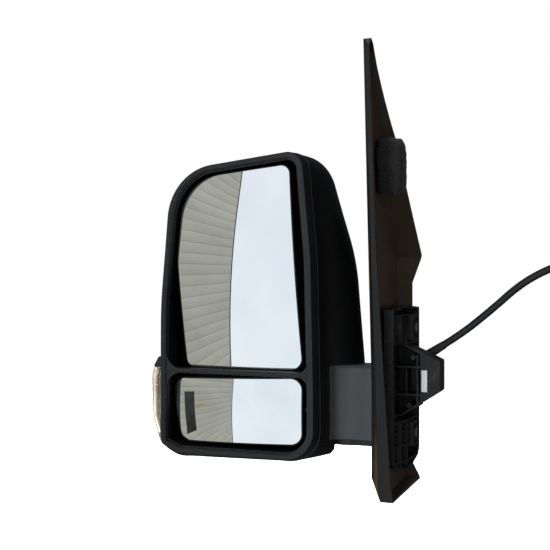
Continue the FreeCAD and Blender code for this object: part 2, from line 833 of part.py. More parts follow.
def arm_profile():
    """Plan outline of the arm: root fillet, flat rear face, round inboard end."""
    lean = V(0.506, 0.862, 0)
    meet = V(-84.1, PIVOT_Y - ARM_HALF_WIDTH, 0)
    root_r = 26.0
    reach = root_r * math.tan(math.radians(29.8))
    root_start = meet - lean * reach
    root_end = meet + V(reach, 0, 0)
    to_arc_end = math.sqrt(ARM_END_R ** 2 - ARM_HALF_WIDTH ** 2)
    rear_tip = V(PIVOT_X + to_arc_end, PIVOT_Y - ARM_HALF_WIDTH, 0)
    front_tip = V(PIVOT_X + to_arc_end, PIVOT_Y + ARM_HALF_WIDTH, 0)
    end_middle = V(PIVOT_X + ARM_END_R, PIVOT_Y, 0)
    normal = V(lean.y, -lean.x, 0)
    arc_centre = root_start + normal * root_r
    toward = (meet - arc_centre).normalize()
    root_middle = arc_centre + toward * root_r
    inside = root_start - normal * 5.0
    back = V(-106.0, PIVOT_Y - ARM_HALF_WIDTH, 0)
    front = V(-106.0, PIVOT_Y + ARM_HALF_WIDTH, 0)
    edges = [
        Part.LineSegment(inside, root_start).toShape(),
        Part.Arc(root_start, root_middle, root_end).toShape(),
        Part.LineSegment(root_end, rear_tip).toShape(),
        Part.Arc(rear_tip, end_middle, front_tip).toShape(),
        Part.LineSegment(front_tip, front).toShape(),
        Part.LineSegment(front, back).toShape(),
        Part.LineSegment(back, inside).toShape(),
    ]
    return Part.Wire(edges)


def arm_solid(offset, z0, z1):
    """Prism of the arm's plan outline between two heights."""
    wire = arm_profile()
    if offset:
        wire = grown(wire, offset)
    wire.translate(V(0, 0, z0))
    return prism(wire, V(0, 0, z1 - z0))


def arm_cover():
    """Hollow arm shell, open towards the head and over the foot's seat."""
    outer = arm_solid(0, ARM_BOTTOM_Z, ARM_TOP_Z)
    top_edges = []
    for e in outer.Edges:
        level = e.BoundBox.ZMin > ARM_TOP_Z - 1e-3
        if level and e.BoundBox.XMax > -90.0:
            top_edges.append(e)
    outer = outer.makeChamfer(3.0, top_edges)
    inner = arm_solid(-ARM_WALL, ARM_BOTTOM_Z + ARM_WALL, ARM_TOP_Z - ARM_WALL - 1.5)
    opening = box(-112.0, -100.0, PIVOT_Y - ARM_HALF_WIDTH + ARM_WALL, PIVOT_Y + ARM_HALF_WIDTH - ARM_WALL,
                  ARM_BOTTOM_Z + ARM_WALL, ARM_TOP_Z - ARM_WALL - 1.5)
    hub_hole = rod(pivot(-90.0), V(0, 0, 1), 40.0, HUB_R + 0.4)
    return outer.cut(inner).cut(opening).cut(hub_hole).removeSplitter()


def fold_clearance():
    """Space under the arm that the fixed foot sweeps relative to the head."""
    disc = rod(pivot(-120.0), V(0, 0, 1), 120.0 + ARM_BOTTOM_Z, SEAT_R + 1.2)
    beside = box(PIVOT_X - 12.0, 0.0, -60.0, 60.0, -120.0, ARM_BOTTOM_Z)
    return disc.fuse(beside)


def lower_cover_region():
    """Space of the separate lower cover along the head's bottom."""
    return box(-340.0, -60.0, BEZEL_BACK_Y - 5, 80.0, -140.0, -80.0)


def cover_shell():
    """Whole skin behind the bezel, before it is split into covers."""
    flange = block_xz(COVER_SECTIONS[0][1], BEZEL_BACK_Y, BEZEL_BACK_Y + 2.2, -0.3)
    flange = flange.cut(block_xz(BEZEL_BACK, BEZEL_BACK_Y - 1, BEZEL_BACK_Y + 4, -1.6))
    shell = cover_solid(0).cut(cover_solid(COVER_WALL)).fuse(flange)
    shell = shell.cut(arm_solid(SEAM, ARM_BOTTOM_Z - SEAM, ARM_TOP_Z + SEAM))
    return shell.cut(fold_clearance())


def largest(shape):
    """The biggest solid of a cut result."""
    return max(shape.Solids, key=lambda s: s.Volume)


def rear_cover(shell):
    """Large cover over the top, back and sides of the head."""
    gap = box(-340.0, -40.0, BEZEL_BACK_Y - 5, 80.0, -140.0, -80.0 + SEAM)
    return largest(shell.cut(gap))


def lower_cover(shell):
    """Shallow cover that closes the head from below."""
    return largest(shell.common(lower_cover_region()))


def bezel_walls():
    """Outer wall, front band and inner tunnel of the bezel as one ring."""
    outer_front = outline_xz(RIM, RIM_Y)
    outer_back = outline_xz(BEZEL_BACK, BEZEL_BACK_Y - 0.3)
    outside = Part.makeLoft([outer_front, outer_back], True, True)
    front_edges = [e for e in outside.Edges if e.BoundBox.YMax < RIM_Y + 1e-6]
    outside = outside.makeFillet(2.4, front_edges)
    hollow_front = grown(outline_xz(RIM, RIM_Y + BAND_THICK), -2.6)
    hollow_back = grown(outline_xz(BEZEL_BACK, BEZEL_BACK_Y + 1), -2.6)
    hollow = Part.makeLoft([hollow_front, hollow_back], True, True)
    tunnel = block_xz(RIM, RIM_Y + 0.4, TUNNEL_BACK_Y, -(RIM_WIDTH - TUNNEL_WALL))
    opening = block_xz(RIM, RIM_Y - 1, TUNNEL_BACK_Y + 1, -RIM_WIDTH)
    ledge = block_xz(RIM, LEDGE_Y, LEDGE_Y + LEDGE_DEPTH, -(RIM_WIDTH - 1.0))
    ledge = ledge.cut(block_xz(RIM, LEDGE_Y - 1, LEDGE_Y + LEDGE_DEPTH + 1, -(RIM_WIDTH + LEDGE_WIDTH)))
    ring = outside.cut(hollow).fuse(tunnel).cut(opening).fuse(ledge)
    inner_edges = []
    for e in ring.Edges:
        flat = abs(e.BoundBox.YMax - RIM_Y) < 1e-6
        if flat and e.BoundBox.XMin > -308.0 and e.BoundBox.XMax < -113.0:
            inner_edges.append(e)
    return ring.makeChamfer(1.6, inner_edges)


def divider():
    """Bar between the glasses, widened into the opening's sides."""
    left = -309.0
    right = -112.5
    opening_left = -306.4
    opening_right = -114.6
    bar = box(left, right, RIM_Y + 2.0, -66.0, DIVIDER_BOTTOM, DIVIDER_TOP)
    front_edges = [e for e in bar.Edges
                   if e.BoundBox.YMax < RIM_Y + 2.01 and e.BoundBox.XLength > 100]
    bar = bar.makeFillet(1.8, front_edges)
    webs = []
    for side, wall, flare in ((1, opening_left, 21.0), (-1, opening_right, 13.0)):
        for up, level in ((1, DIVIDER_TOP - 0.5), (-1, DIVIDER_BOTTOM + 0.5)):
            corner = V(wall - side * 1.0, RIM_Y + 2.6, level)
            along = V(wall + side * flare, RIM_Y + 2.6, level)
            upward = V(wall - side * 1.0, RIM_Y + 2.6, level + up * flare)
            centre = V(wall + side * flare, RIM_Y + 2.6, level + up * flare)
            middle = centre + (corner - centre).normalize() * flare
            edges = [
                Part.LineSegment(upward, corner).toShape(),
                Part.LineSegment(corner, along).toShape(),
                Part.Arc(along, middle, V(wall, RIM_Y + 2.6, level + up * flare)).toShape(),
                Part.LineSegment(V(wall, RIM_Y + 2.6, level + up * flare), upward).toShape(),
            ]
            webs.append(prism(Part.Wire(edges), V(0, 4.0, 0)))
    return [bar] + webs


def tab_points():
    """Screw points (x, z) where the bezel is held to the frame."""
    return [(-287.0, 140.0), (-127.0, 140.0), (-292.0, -38.0), (-127.0, -38.0), (-215.0, 249.0)]


def bezel_tabs():
    """Screw tabs at the back of the tunnel wall."""
    tabs = []
    y0 = TUNNEL_BACK_Y - 1.0
    y1 = TUNNEL_BACK_Y + 2.6
    for x, z in tab_points():
        if x < -280:
            wall_x = -303.2 if z > 0 else -307.4
            tabs.append(box(wall_x, x + 5, y0, y1, z - 6, z + 6))
        elif x > -140:
            tabs.append(box(x - 5, -112.8, y0, y1, z - 6, z + 6))
        else:
            tabs.append(box(x - 6, x + 6, y0, y1, z - 5, 265.5))
    return tabs


def bezel_frame():
    """Front frame with rolled rim, inner tunnel, divider and screw tabs."""
    frame = bezel_walls().fuse(divider() + bezel_tabs())
    holes = [rod(V(x, TUNNEL_BACK_Y - 2, z), V(0, 1, 0), 6.0, 1.7) for x, z in tab_points()]
    return frame.cut(holes).removeSplitter()


def head_plate():
    """Carrier plate with lightening windows and raised posts."""
    plate = block_xz([
        (-124.0, 246.0, 30.0),
        (-276.0, 232.0, 40.0),
        (-294.0, 90.0, 100.0),
        (-292.0, -64.0, 16.0),
        (-118.0, -72.0, 16.0),
        (-118.0, 90.0, 60.0),
    ], PLATE_Y, PLATE_Y + PLATE_THICK)
    windows = []
    for x in (-264.0, -212.0):
        windows.append(box(x, x + 44.0, PLATE_Y - 1, PLATE_Y + 6, 202.0, 222.0))
        windows.append(box(x, x + 44.0, PLATE_Y - 1, PLATE_Y + 6, 24.0, 68.0))
    windows = [w.makeFillet(6.0, [e for e in w.Edges if e.BoundBox.YLength > 3]) for w in windows]
    plate = plate.cut(windows)
    posts = []
    for x, z in tab_points():
        foot_x = min(max(x, -288.0), -124.0)
        foot_z = min(z, 232.0)
        posts.append(rod(V(x, TUNNEL_BACK_Y + 2.7, z), V(0, 1, 0), PLATE_Y - TUNNEL_BACK_Y - 2.7 + 3.0, 4.6))
        posts.append(box(min(x, foot_x) - 4, max(x, foot_x) + 4, PLATE_Y, PLATE_Y + PLATE_THICK,
                         min(z, foot_z) - 4, max(z, foot_z) + 4))
    return [plate] + posts


def frame_ribs():
    """Stiffening ribs on the back of the carrier plate."""
    y0 = PLATE_Y + PLATE_THICK - 0.5
    y1 = PLATE_Y + PLATE_THICK + 7.0
    ribs = []
    for x, top_z in ((-280.0, 199.0), (-152.0, 226.0)):
        ribs.append(box(x, x + 3.0, y0, y1, -58.0, top_z))
    for z in (-58.0, 78.0, 196.0):
        ribs.append(box(-280.0, -124.0, y0, y1, z, z + 3.0))
    return ribs


def head_frame():
    """Structural casting: pivot hub, arm beam and carrier plate."""
    hub = rod(pivot(SHELF_TOP + 0.05), V(0, 0, 1), HUB_TOP - SHELF_TOP - 0.05, HUB_R)
    beam = box(-126.0, PIVOT_X, -40.0, -4.0, -64.0, HUB_TOP)
    beam = beam.cut([
        box(-120.0, PIVOT_X - 24, -35.0, -25.0, -70.0, 20.0),
        box(-120.0, PIVOT_X - 24, -16.0, -9.0, -70.0, 20.0),
    ])
    body = fuse([hub, beam] + head_plate() + frame_ribs())
    bore = rod(pivot(-90.0), V(0, 0, 1), 120.0, SPINDLE_R + BUSH_WALL)
    spring_well = rod(pivot(SPRING_FLOOR), V(0, 0, 1), 60.0, SPRING_COIL_R + SPRING_WIRE_R + 1.4)
    groove = Part.makeTorus(DETENT_R, DETENT_BALL_R + 0.12, pivot(SHELF_TOP + 0.4))
    screw_bores = [rod(V(x, TUNNEL_BACK_Y, z), V(0, 1, 0), 20.0, 1.7) for x, z in tab_points()]
    harness_way = rod(V(-120.0, -12.0, 8.0), V(0, 1, 0), 20.0, 6.0)
    body = body.cut([bore, spring_well, groove, harness_way] + screw_bores)
    return body.removeSplitter()


def pivot_bush():
    """Plastic bush between the hub and the spindle."""
    low = SHELF_TOP + 4.0
    height = SPRING_FLOOR - low
    outer = rod(pivot(low), V(0, 0, 1), height, SPINDLE_R + BUSH_WALL)
    return outer.cut(rod(pivot(low - 1), V(0, 0, 1), height + 2, SPINDLE_R + RUNNING))


def bezel_screws():
    """Small screws that hold the bezel to the frame posts."""
    return group([pan_head_screw(V(x, TUNNEL_BACK_Y + 14.0, z), V(0, -1, 0), 15.0, 1.65, 3.4)
                  for x, z in tab_points()])


# ---------------------------------------------------------------- lamp
def lamp_band(offset, y0, y1):
    """Prism of the lamp's side outline between two depths."""
    return block_xz(LAMP, y0, y1, offset)


def lamp_lens():
    """Clear lens wrapped round the head's outboard edge."""
    outer = lamp_band(0.0, LAMP_REAR_Y, LAMP_FRONT_Y)
    rear_edges = [e for e in outer.Edges
                  if e.BoundBox.XMax < LAMP_LEFT_X + 4 and e.BoundBox.YLength < 1e-3
                  and e.BoundBox.ZLength > 20]
    outer = outer.makeFillet(3.0, rear_edges)
    inner = lamp_band(-LENS_WALL, LAMP_REAR_Y + LENS_WALL, LAMP_FRONT_Y - LENS_WALL)
    throat = box(LAMP_BACK_X - 3, LAMP_BACK_X + 3, LAMP_REAR_Y + LENS_WALL, LAMP_FRONT_Y - LENS_WALL,
                 LAMP_BOTTOM_Z + LENS_WALL, LAMP_TOP_Z - LENS_WALL)
    beyond = box(LAMP_BACK_X, -300.0, -90.0, 20.0, -120.0, 60.0)
    return largest(outer.cut(inner).cut(throat).cut(beyond))


def lamp_housing():
    """Black base plate fitted to the cover's side, with a wedge cap above the lens."""
    y0 = BEZEL_BACK_Y + 0.4
    plate = box(LAMP_BACK_X + 0.1, -292.0, y0, LAMP_FRONT_Y, LAMP_BOTTOM_Z, LAMP_TOP_Z + 13)
    cap = block_xz([
        (LAMP_BACK_X + 1, LAMP_TOP_Z + 0.3, 0.0),
        (LAMP_LEFT_X + 3.2, LAMP_TOP_Z + 0.3, 1.0),
        (-319.5, LAMP_TOP_Z + 13, 2.0),
        (LAMP_BACK_X + 1, LAMP_TOP_Z + 13, 0.0),
    ], LAMP_REAR_Y, LAMP_FRONT_Y)
    solid = plate.fuse(cap)
    return largest(solid.cut(cover_solid(-0.3)).cut(bezel_side_space()))


def bezel_side_space():
    """Space of the bezel's side beside the lamp."""
    return box(-316.0, -290.0, RIM_Y - 1, BEZEL_BACK_Y + 0.4, -120.0, 60.0)


def lamp_board():
    """LED board standing behind the lens."""
    board = box(LAMP_BACK_X - 1.6, LAMP_BACK_X, -66.0, -8.0, LAMP_BOTTOM_Z + 12, LAMP_TOP_Z - 10)
    leds = [box(LAMP_BACK_X - 2.8, LAMP_BACK_X - 1.6, -60.0 + 16 * i, -56.0 + 16 * i, z, z + 4)
            for i in range(4) for z in (-60.0, -36.0, -12.0)]
    return fuse([board] + leds)


def lamp_reflector():
    """Thin bright frame round the LEDs."""
    frame = box(LAMP_BACK_X - 4.4, LAMP_BACK_X - 1.7, -72.0, -4.0, LAMP_BOTTOM_Z + 10, LAMP_TOP_Z - 8)
    window = box(LAMP_BACK_X - 5, LAMP_BACK_X, -69.5, -6.5, LAMP_BOTTOM_Z + 13, LAMP_TOP_Z - 11)
    board_room = box(LAMP_BACK_X - 1.65, LAMP_BACK_X + 1, -72.0, -4.0, LAMP_BOTTOM_Z, LAMP_TOP_Z)
    return frame.common(lamp_band(-LENS_WALL - 0.3, LAMP_REAR_Y, LAMP_FRONT_Y)).cut(window).cut(board_room)


# ---------------------------------------------------------------- glasses and their drives
def curved_plate(corners, offset, centre, apex_y, radius, thickness):
    """Plate of a given outline bent to a sphere."""
    blank = block_xz(corners, apex_y - 2, apex_y + 26, offset)
    ball_centre = V(centre.x, apex_y + radius, centre.z)
    plate = blank.common(Part.makeSphere(radius, ball_centre))
    return plate.cut(Part.makeSphere(radius - thickness, ball_centre))


def glass_stack(corners, centre, apex_y, radius):
    """Glass, pad and dished holder plate, front to back."""
    glass = curved_plate(corners, 0.0, centre, apex_y, radius, GLASS_THICK)
    pad = curved_plate(corners, -3.0, centre, apex_y + GLASS_THICK, radius - GLASS_THICK, PAD_THICK)
    whole = GLASS_THICK + PAD_THICK + HOLDER_THICK
    lip_drop = 0.4
    holder = curved_plate(corners, HOLDER_LIP, centre, apex_y + lip_drop, radius - lip_drop, whole - lip_drop)
    seat = curved_plate(corners, HOLDER_FIT, centre, apex_y - 1, radius + 1, GLASS_THICK + PAD_THICK + 1)
    return glass, pad, holder.cut(seat)


def ears(centre, plate_y, inner_x, outer_x):
    """Pair of drilled ears for a gimbal ring's outer pins."""
    made = []
    for side in (-1, 1):
        x0 = centre.x + min(side * inner_x, side * outer_x)
        ear = box(x0, x0 + outer_x - inner_x, plate_y, centre.y, centre.z - EAR_R, centre.z + EAR_R)
        nose_end = rod(V(x0, centre.y, centre.z), V(1, 0, 0), outer_x - inner_x, EAR_R)
        made.append(ear.fuse(nose_end))
    return made


def holder_stiffeners(centre, plate_y, back_y, reach_x, reach_z, spacing, behind):
    """Low grid of ribs on a holder's back, kept behind a ball surface."""
    ribs = []
    count_x = int(reach_x / spacing)
    for i in range(-count_x, count_x + 1):
        x = centre.x + i * spacing
        ribs.append(box(x - 0.8, x + 0.8, plate_y, back_y, centre.z - reach_z, centre.z + reach_z))
    count_z = int(reach_z / spacing)
    for i in range(-count_z, count_z + 1):
        z = centre.z + i * spacing
        ribs.append(box(centre.x - reach_x, centre.x + reach_x, plate_y, back_y, z - 0.8, z + 0.8))
    return [r.common(behind) for r in ribs]


def plate_core(centre, apex_y, radius):
    """Ball whose surface lies inside the holder's bent plate."""
    depth = GLASS_THICK + PAD_THICK + 1.0
    return Part.makeSphere(radius - depth, V(centre.x, apex_y + radius, centre.z))


def main_holder(plate):
    """Main glass holder with pin ears and two screw cups."""
    c = MAIN_PIVOT
    back = MAIN_APEX_Y + GLASS_THICK + PAD_THICK + HOLDER_THICK
    root = back - 1.0
    extras = ears(c, root, 26.5, 32.5)
    for dx, dz in ((PAN_ROD_OFFSET, 0.0), (0.0, -TILT_ROD_OFFSET)):
        base = V(c.x + dx, root, c.z + dz)
        cup = rod(base, V(0, 1, 0), c.y + 1.6 - root, 7.4)
        extras.append(cup.cut(rod(base + V(0, 5.0, 0), V(0, 1, 0), 40.0, 5.0)))
    behind = plate_core(c, MAIN_APEX_Y, MAIN_RADIUS)
    ribs = holder_stiffeners(c, root, back + 6.4, 66.0, 96.0, 33.0, behind)
    hollow = rod(V(c.x, root + 0.5, c.z), V(0, 1, 0), 30.0, 25.5)
    ribs = [r.cut(hollow) for r in ribs]
    solid = fuse([plate] + ribs + extras)
    bore = rod(V(c.x - 60, c.y, c.z), V(1, 0, 0), 120.0, PIN_R + RUNNING)
    solid = solid.cut(bore.cut(box(c.x + 33, c.x + 61, -80, -30, c.z - 9, c.z + 9)))
    return largest(solid.removeSplitter())


def lower_holder(plate):
    """Lower glass holder with pin ears."""
    c = LOWER_PIVOT
    back = LOWER_APEX_Y + GLASS_THICK + PAD_THICK + HOLDER_THICK
    root = back - 1.0
    behind = plate_core(c, LOWER_APEX_Y, LOWER_RADIUS)
    ribs = holder_stiffeners(c, root, back + 5.6, 60.0, 26.0, 26.0, behind)
    hollow = rod(V(c.x, root + 0.5, c.z), V(0, 1, 0), 30.0, 20.0)
    ribs = [r.cut(hollow) for r in ribs]
    solid = fuse([plate] + ribs + ears(c, root, 20.0, 25.0))
    bore = rod(V(c.x - 30, c.y, c.z), V(1, 0, 0), 60.0, PIN_R + RUNNING)
    return largest(solid.cut(bore).removeSplitter())


def gimbal_ring(centre, inner_r, outer_r, half_depth, pin_out, pin_in):
    """Ring with vertical inner pins and horizontal outer pins."""
    ring = ring_y(centre, outer_r, inner_r, centre.y - half_depth, centre.y + half_depth)
    parts = [ring]
    for side in (-1, 1):
        start = centre + V(side * (outer_r - 1.0), 0, 0)
        parts.append(rod(start, V(side, 0, 0), pin_out - outer_r + 1.0, PIN_R))
        start = centre + V(0, 0, side * (inner_r + 1.0))
        parts.append(rod(start, V(0, 0, -side), inner_r + 1.0 - pin_in, PIN_R))
    return fuse(parts)


def gimbal_post(centre, back_y, half_x, half_z):
    """Post that carries the ring's inner pins."""
    post = box(centre.x - half_x, centre.x + half_x, centre.y - 4.6, back_y,
               centre.z - half_z, centre.z + half_z)
    return post.cut(rod(centre - V(0, 0, 40), V(0, 0, 1), 80.0, PIN_R + RUNNING))


def rod_points():
    """Centres of the two adjusting screws in the X-Z plane."""
    return [
        V(MAIN_PIVOT.x + PAN_ROD_OFFSET, MAIN_PIVOT.y, MAIN_PIVOT.z),
        V(MAIN_PIVOT.x, MAIN_PIVOT.y, MAIN_PIVOT.z - TILT_ROD_OFFSET),
    ]


ACTUATOR = [
    (-152.0, 192.0, 14.0),
    (-262.0, 192.0, 14.0),
    (-262.0, 84.0, 14.0),
    (-152.0, 84.0, 14.0),
]
ACTUATOR_FRONT_Y = -45.0
ACTUATOR_SPLIT_Y = -37.0


def actuator_front():
    """Front half of the drive housing with the gimbal post and screw guides."""
    shell = block_xz(ACTUATOR, ACTUATOR_FRONT_Y, ACTUATOR_SPLIT_Y)
    front_edges = [e for e in shell.Edges if e.BoundBox.YMax < ACTUATOR_FRONT_Y + 1e-6]
    shell = shell.makeFillet(1.6, front_edges)
    shell = shell.cut(block_xz(ACTUATOR, ACTUATOR_FRONT_Y + 2.2, ACTUATOR_SPLIT_Y + 1, -2.2))
    extras = [gimbal_post(MAIN_PIVOT, ACTUATOR_FRONT_Y + 1, 7.5, 15.0)]
    for p in rod_points():
        extras.append(rod(V(p.x, ACTUATOR_FRONT_Y + 1, p.z), V(0, 1, 0), 5.0, 7.0))
    body = fuse([shell] + extras)
    holes = [rod(V(p.x, -60.0, p.z), V(0, 1, 0), 30.0, 3.0 + RUNNING + 0.02) for p in rod_points()]
    return body.cut(holes)


def actuator_rear():
    """Rear half of the drive housing with gear seats."""
    shell = block_xz(ACTUATOR, ACTUATOR_SPLIT_Y, PLATE_Y)
    shell = shell.cut(block_xz(ACTUATOR, ACTUATOR_SPLIT_Y - 1, PLATE_Y - 2.0, -2.2))
    seats = [ring_y(p, 8.0, 4.4, -29.4, PLATE_Y - 1.0) for p in rod_points()]
    return fuse([shell] + seats)


def drive_motor(point):
    """Small sealed motor with its worm housing, beside a gear."""
    body = rod(V(point.x - 34, -30.0, point.z + 26), V(1, 0, 0), 30.0, 6.6)
    gearbox = box(point.x - 4, point.x + 8, -35.0, -24.0, point.z + 19, point.z + 33)
    return body.fuse(gearbox).removeSplitter()


def tilt_motor():
    """Motor of the up-and-down drive."""
    p = rod_points()[1]
    body = rod(V(p.x - 36, -30.0, p.z - 4), V(0, 0, 1), 30.0, 6.6)
    gearbox = box(p.x - 41, p.x - 18, -35.0, -24.0, p.z - 7, p.z - 3)
    return body.fuse(gearbox).removeSplitter()


def drive_gear(point):
    """Nut gear that turns round an adjusting screw."""
    teeth = 20
    root_r = 12.0
    tip_r = 13.6
    y0 = -35.0
    thickness = 5.4
    points = []
    for i in range(teeth):
        step = 2 * math.pi / teeth
        for angle, radius in ((-0.30, root_r), (-0.12, tip_r), (0.12, tip_r), (0.30, root_r)):
            a = (i + angle) * step
            points.append(V(point.x + radius * math.cos(a), y0, point.z + radius * math.sin(a)))
    points.append(points[0])
    wheel = prism(Part.makePolygon(points), V(0, thickness, 0))
    hub = rod(V(point.x, y0 - 2.4, point.z), V(0, 1, 0), thickness + 2.4, 6.0)
    return wheel.fuse(hub).cut(rod(V(point.x, y0 - 5, point.z), V(0, 1, 0), 20.0, 3.0 + RUNNING + 0.02))


def adjusting_screw(point):
    """Threaded push rod with a ball end in the holder's cup."""
    ball = Part.makeSphere(4.2, V(point.x, MAIN_PIVOT.y, point.z))
    shank = rod(V(point.x, MAIN_PIVOT.y, point.z), V(0, 1, 0), 25.0, 3.0)
    grooves = []
    for i in range(5):
        y = MAIN_PIVOT.y + 17.0 + 1.3 * i
        grooves.append(ring_y(V(point.x, 0, point.z), 4.0, 2.6, y, y + 0.6))
    return ball.fuse(shank).cut(grooves)


def lower_mount():
    """Bracket that carries the lower glass from the frame."""
    c = LOWER_PIVOT
    base = block_xz([
        (c.x + 36, c.z + 26, 8.0),
        (c.x - 36, c.z + 26, 8.0),
        (c.x - 36, c.z - 26, 8.0),
        (c.x + 36, c.z - 26, 8.0),
    ], -46.0, PLATE_Y)
    hollow = block_xz([
        (c.x + 36, c.z + 26, 8.0),
        (c.x - 36, c.z + 26, 8.0),
        (c.x - 36, c.z - 26, 8.0),
        (c.x + 36, c.z - 26, 8.0),
    ], -43.6, PLATE_Y + 1, -2.4)
    return fuse([base.cut(hollow), gimbal_post(c, -45.0, 5.0, 10.5)])


def head_harness():
    """Wire bundle from the arm along the frame's back to the lamp and the drive."""
    y = -6.5
    path = [
        V(-98.0, -12.0, 9.0),
        V(-128.0, y, 12.0),
        V(-150.0, y + 2, 2.0),
        V(-206.0, y + 2, -18.0),
        V(-256.0, y + 1, -24.0),
        V(-292.0, y - 1, -36.0),
    ]
    return tube(path, 3.0)


# ---------------------------------------------------------------- build
def build_base():
    """Everything fixed to the door."""
    export(base_bracket(), "base_bracket")
    export(sail_cover(), "sail_cover")
    export(pivot_foot(), "pivot_foot")
    export(pivot_spindle(), "pivot_spindle")
    export(fold_spring(), "fold_spring")
    export(spring_washer(), "spring_washer")
    export(pivot_nut(), "pivot_nut")
    export(detent_balls(), "detent_balls")
    export(foot_screws(), "foot_screws")
    export(bolt_inserts(), "bolt_inserts")
    export(nose_label(), "nose_label")
    export(foam_block(), "foam_block")


def build_cable():
    """Cable, its grommet, coil, tie and plug."""
    export(cable_grommet(), "cable_grommet")
    export(cable(), "cable")
    export(cable_coil(), "cable_coil")
    export(cable_tail(), "cable_tail")
    export(cable_tie(), "cable_tie")
    export(connector(), "connector")
    export(connector_latch(), "connector_latch")


def build_head():
    """Everything that folds."""
    shell = cover_shell()
    export(rear_cover(shell), "rear_cover")
    export(lower_cover(shell), "lower_cover")
    export(arm_cover(), "arm_cover")
    export(bezel_frame(), "bezel_frame")
    export(head_frame(), "head_frame")
    export(pivot_bush(), "pivot_bush")
    export(bezel_screws(), "bezel_screws")
    export(lamp_lens(), "lamp_lens")
    export(lamp_housing(), "lamp_housing")
    export(lamp_board(), "lamp_board")
    export(lamp_reflector(), "lamp_reflector")
    export(actuator_front(), "actuator_front")
    export(actuator_rear(), "actuator_rear")
    export(drive_motor(rod_points()[0]), "pan_motor")
    export(tilt_motor(), "tilt_motor")
    export(lower_mount(), "lower_mount")
    export(head_harness(), "head_harness")


def build_glasses():
    """The two adjustable glasses with rings, screws and gears."""
    glass, pad, plate = glass_stack(MAIN_GLASS, MAIN_PIVOT, MAIN_APEX_Y, MAIN_RADIUS)
    export(glass, "main_glass")
    export(pad, "main_heater_pad")
    export(main_holder(plate), "main_glass_holder")
    export(gimbal_ring(MAIN_PIVOT, 18.5, 24.5, 4.0, 31.5, 11.0), "main_gimbal_ring")
    glass, pad, plate = glass_stack(LOWER_GLASS, LOWER_PIVOT, LOWER_APEX_Y, LOWER_RADIUS)
    export(glass, "lower_glass")
    export(pad, "lower_glass_pad")
    export(lower_holder(plate), "lower_glass_holder")
    export(gimbal_ring(LOWER_PIVOT, 13.0, 18.0, 3.5, 24.0, 7.0), "lower_gimbal_ring")
    pan_point, tilt_point = rod_points()
    export(adjusting_screw(pan_point), "pan_screw")
    export(adjusting_screw(tilt_point), "tilt_screw")
    export(drive_gear(pan_point), "pan_gear")
    export(drive_gear(tilt_point), "tilt_gear")


os.makedirs("parts", exist_ok=True)
build_base()
build_cable()
build_head()
build_glasses()
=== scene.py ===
"""Looks of a large van's door mirror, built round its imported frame."""
import math

import bmesh
import bpy
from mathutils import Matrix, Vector, noise


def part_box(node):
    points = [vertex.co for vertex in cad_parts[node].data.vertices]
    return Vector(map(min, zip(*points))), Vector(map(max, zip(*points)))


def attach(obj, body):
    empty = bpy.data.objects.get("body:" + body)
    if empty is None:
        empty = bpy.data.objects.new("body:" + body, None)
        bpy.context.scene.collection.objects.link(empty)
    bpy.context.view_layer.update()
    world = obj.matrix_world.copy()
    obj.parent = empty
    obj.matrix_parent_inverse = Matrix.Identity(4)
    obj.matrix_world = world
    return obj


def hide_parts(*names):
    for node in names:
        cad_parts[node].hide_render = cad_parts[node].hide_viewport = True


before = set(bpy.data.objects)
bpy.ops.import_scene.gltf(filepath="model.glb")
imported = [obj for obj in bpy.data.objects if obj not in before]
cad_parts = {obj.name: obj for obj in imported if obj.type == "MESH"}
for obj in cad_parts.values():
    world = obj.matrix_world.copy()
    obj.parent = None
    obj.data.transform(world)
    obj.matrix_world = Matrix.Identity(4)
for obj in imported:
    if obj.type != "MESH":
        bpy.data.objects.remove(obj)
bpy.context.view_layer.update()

# ---------------------------------------------------------------- driving values (metres)
YAW = math.radians(22.0)
CAMERA_DISTANCE = 1.150
CAMERA_AIM = Vector((-0.155, -0.085, 0.130))
LENS = 61.7

FLOOR_Z = -0.42
FLOOR_REACH = 30.0

LIGHT_AIM = (-0.15, 0.0, 0.1)
LIGHTS = [                    # name, place, aim, width, height, watts, tint
    ("key", (-1.25, -2.6, 0.9), LIGHT_AIM, 0.8, 1.4, 62.0, (0.97, 0.99, 1.0)),
    ("top", (-0.5, 0.2, 2.4), LIGHT_AIM, 1.8, 1.8, 15.0, (0.95, 0.98, 1.0)),
    ("right", (2.2, -1.6, 0.2), (0.0, 0.0, 0.1), 1.0, 1.0, 10.0, (1.0, 0.90, 0.80)),
    ("back", (-0.9, 2.4, 1.2), LIGHT_AIM, 2.0, 2.0, 75.0, (0.97, 0.98, 1.0)),
]

CARDS_LOW_Z = -8.0            # both cards start far below the view
SKY_Y = -6.0                  # the sky card stands behind the camera
SKY_REACH = 9.0
WALL_X = -1.75                # the boarded wall card stands outboard
WALL_TOP_Z = 3.4
WALL_FRONT_Y = 0.4
WALL_EDGE_Y = -3.342          # its rear edge at Z = 0, and how that edge leans
WALL_EDGE_SLOPE = -0.161
WALL_EDGE_WIDTH = 0.03
BOARD_PITCH = 0.095
DOORWAY_Y = (-1.81, -1.56)    # dark upright shape in front of the boards
DOORWAY_Z = (-0.68, -0.15)

SAIL_OUTER = 0.0353           # how far the sail's outboard face stands off the door
SAIL_REAR = 0.085
SAIL_FRONT = 0.045
SAIL_FOOT = 0.136
SAIL_LEAN = 0.0259            # lean of the outboard face above the door line
SAIL_SKIN = 0.0008            # depth below the sail's outer faces where the bare inside begins
SAIL_FADE = 0.001
SAIL_BEVEL_SLOPE = 0.93       # of the long rear bevel, and the band of X + slope * Y just inside it
SAIL_BEVEL_BAND = (-0.1062, -0.1050)
SAIL_SLANT_SLOPE = 0.4518     # of the slanted front edge, and the band of Y + slope * Z just inside it
SAIL_SLANT_BAND = (0.1126, 0.1115)

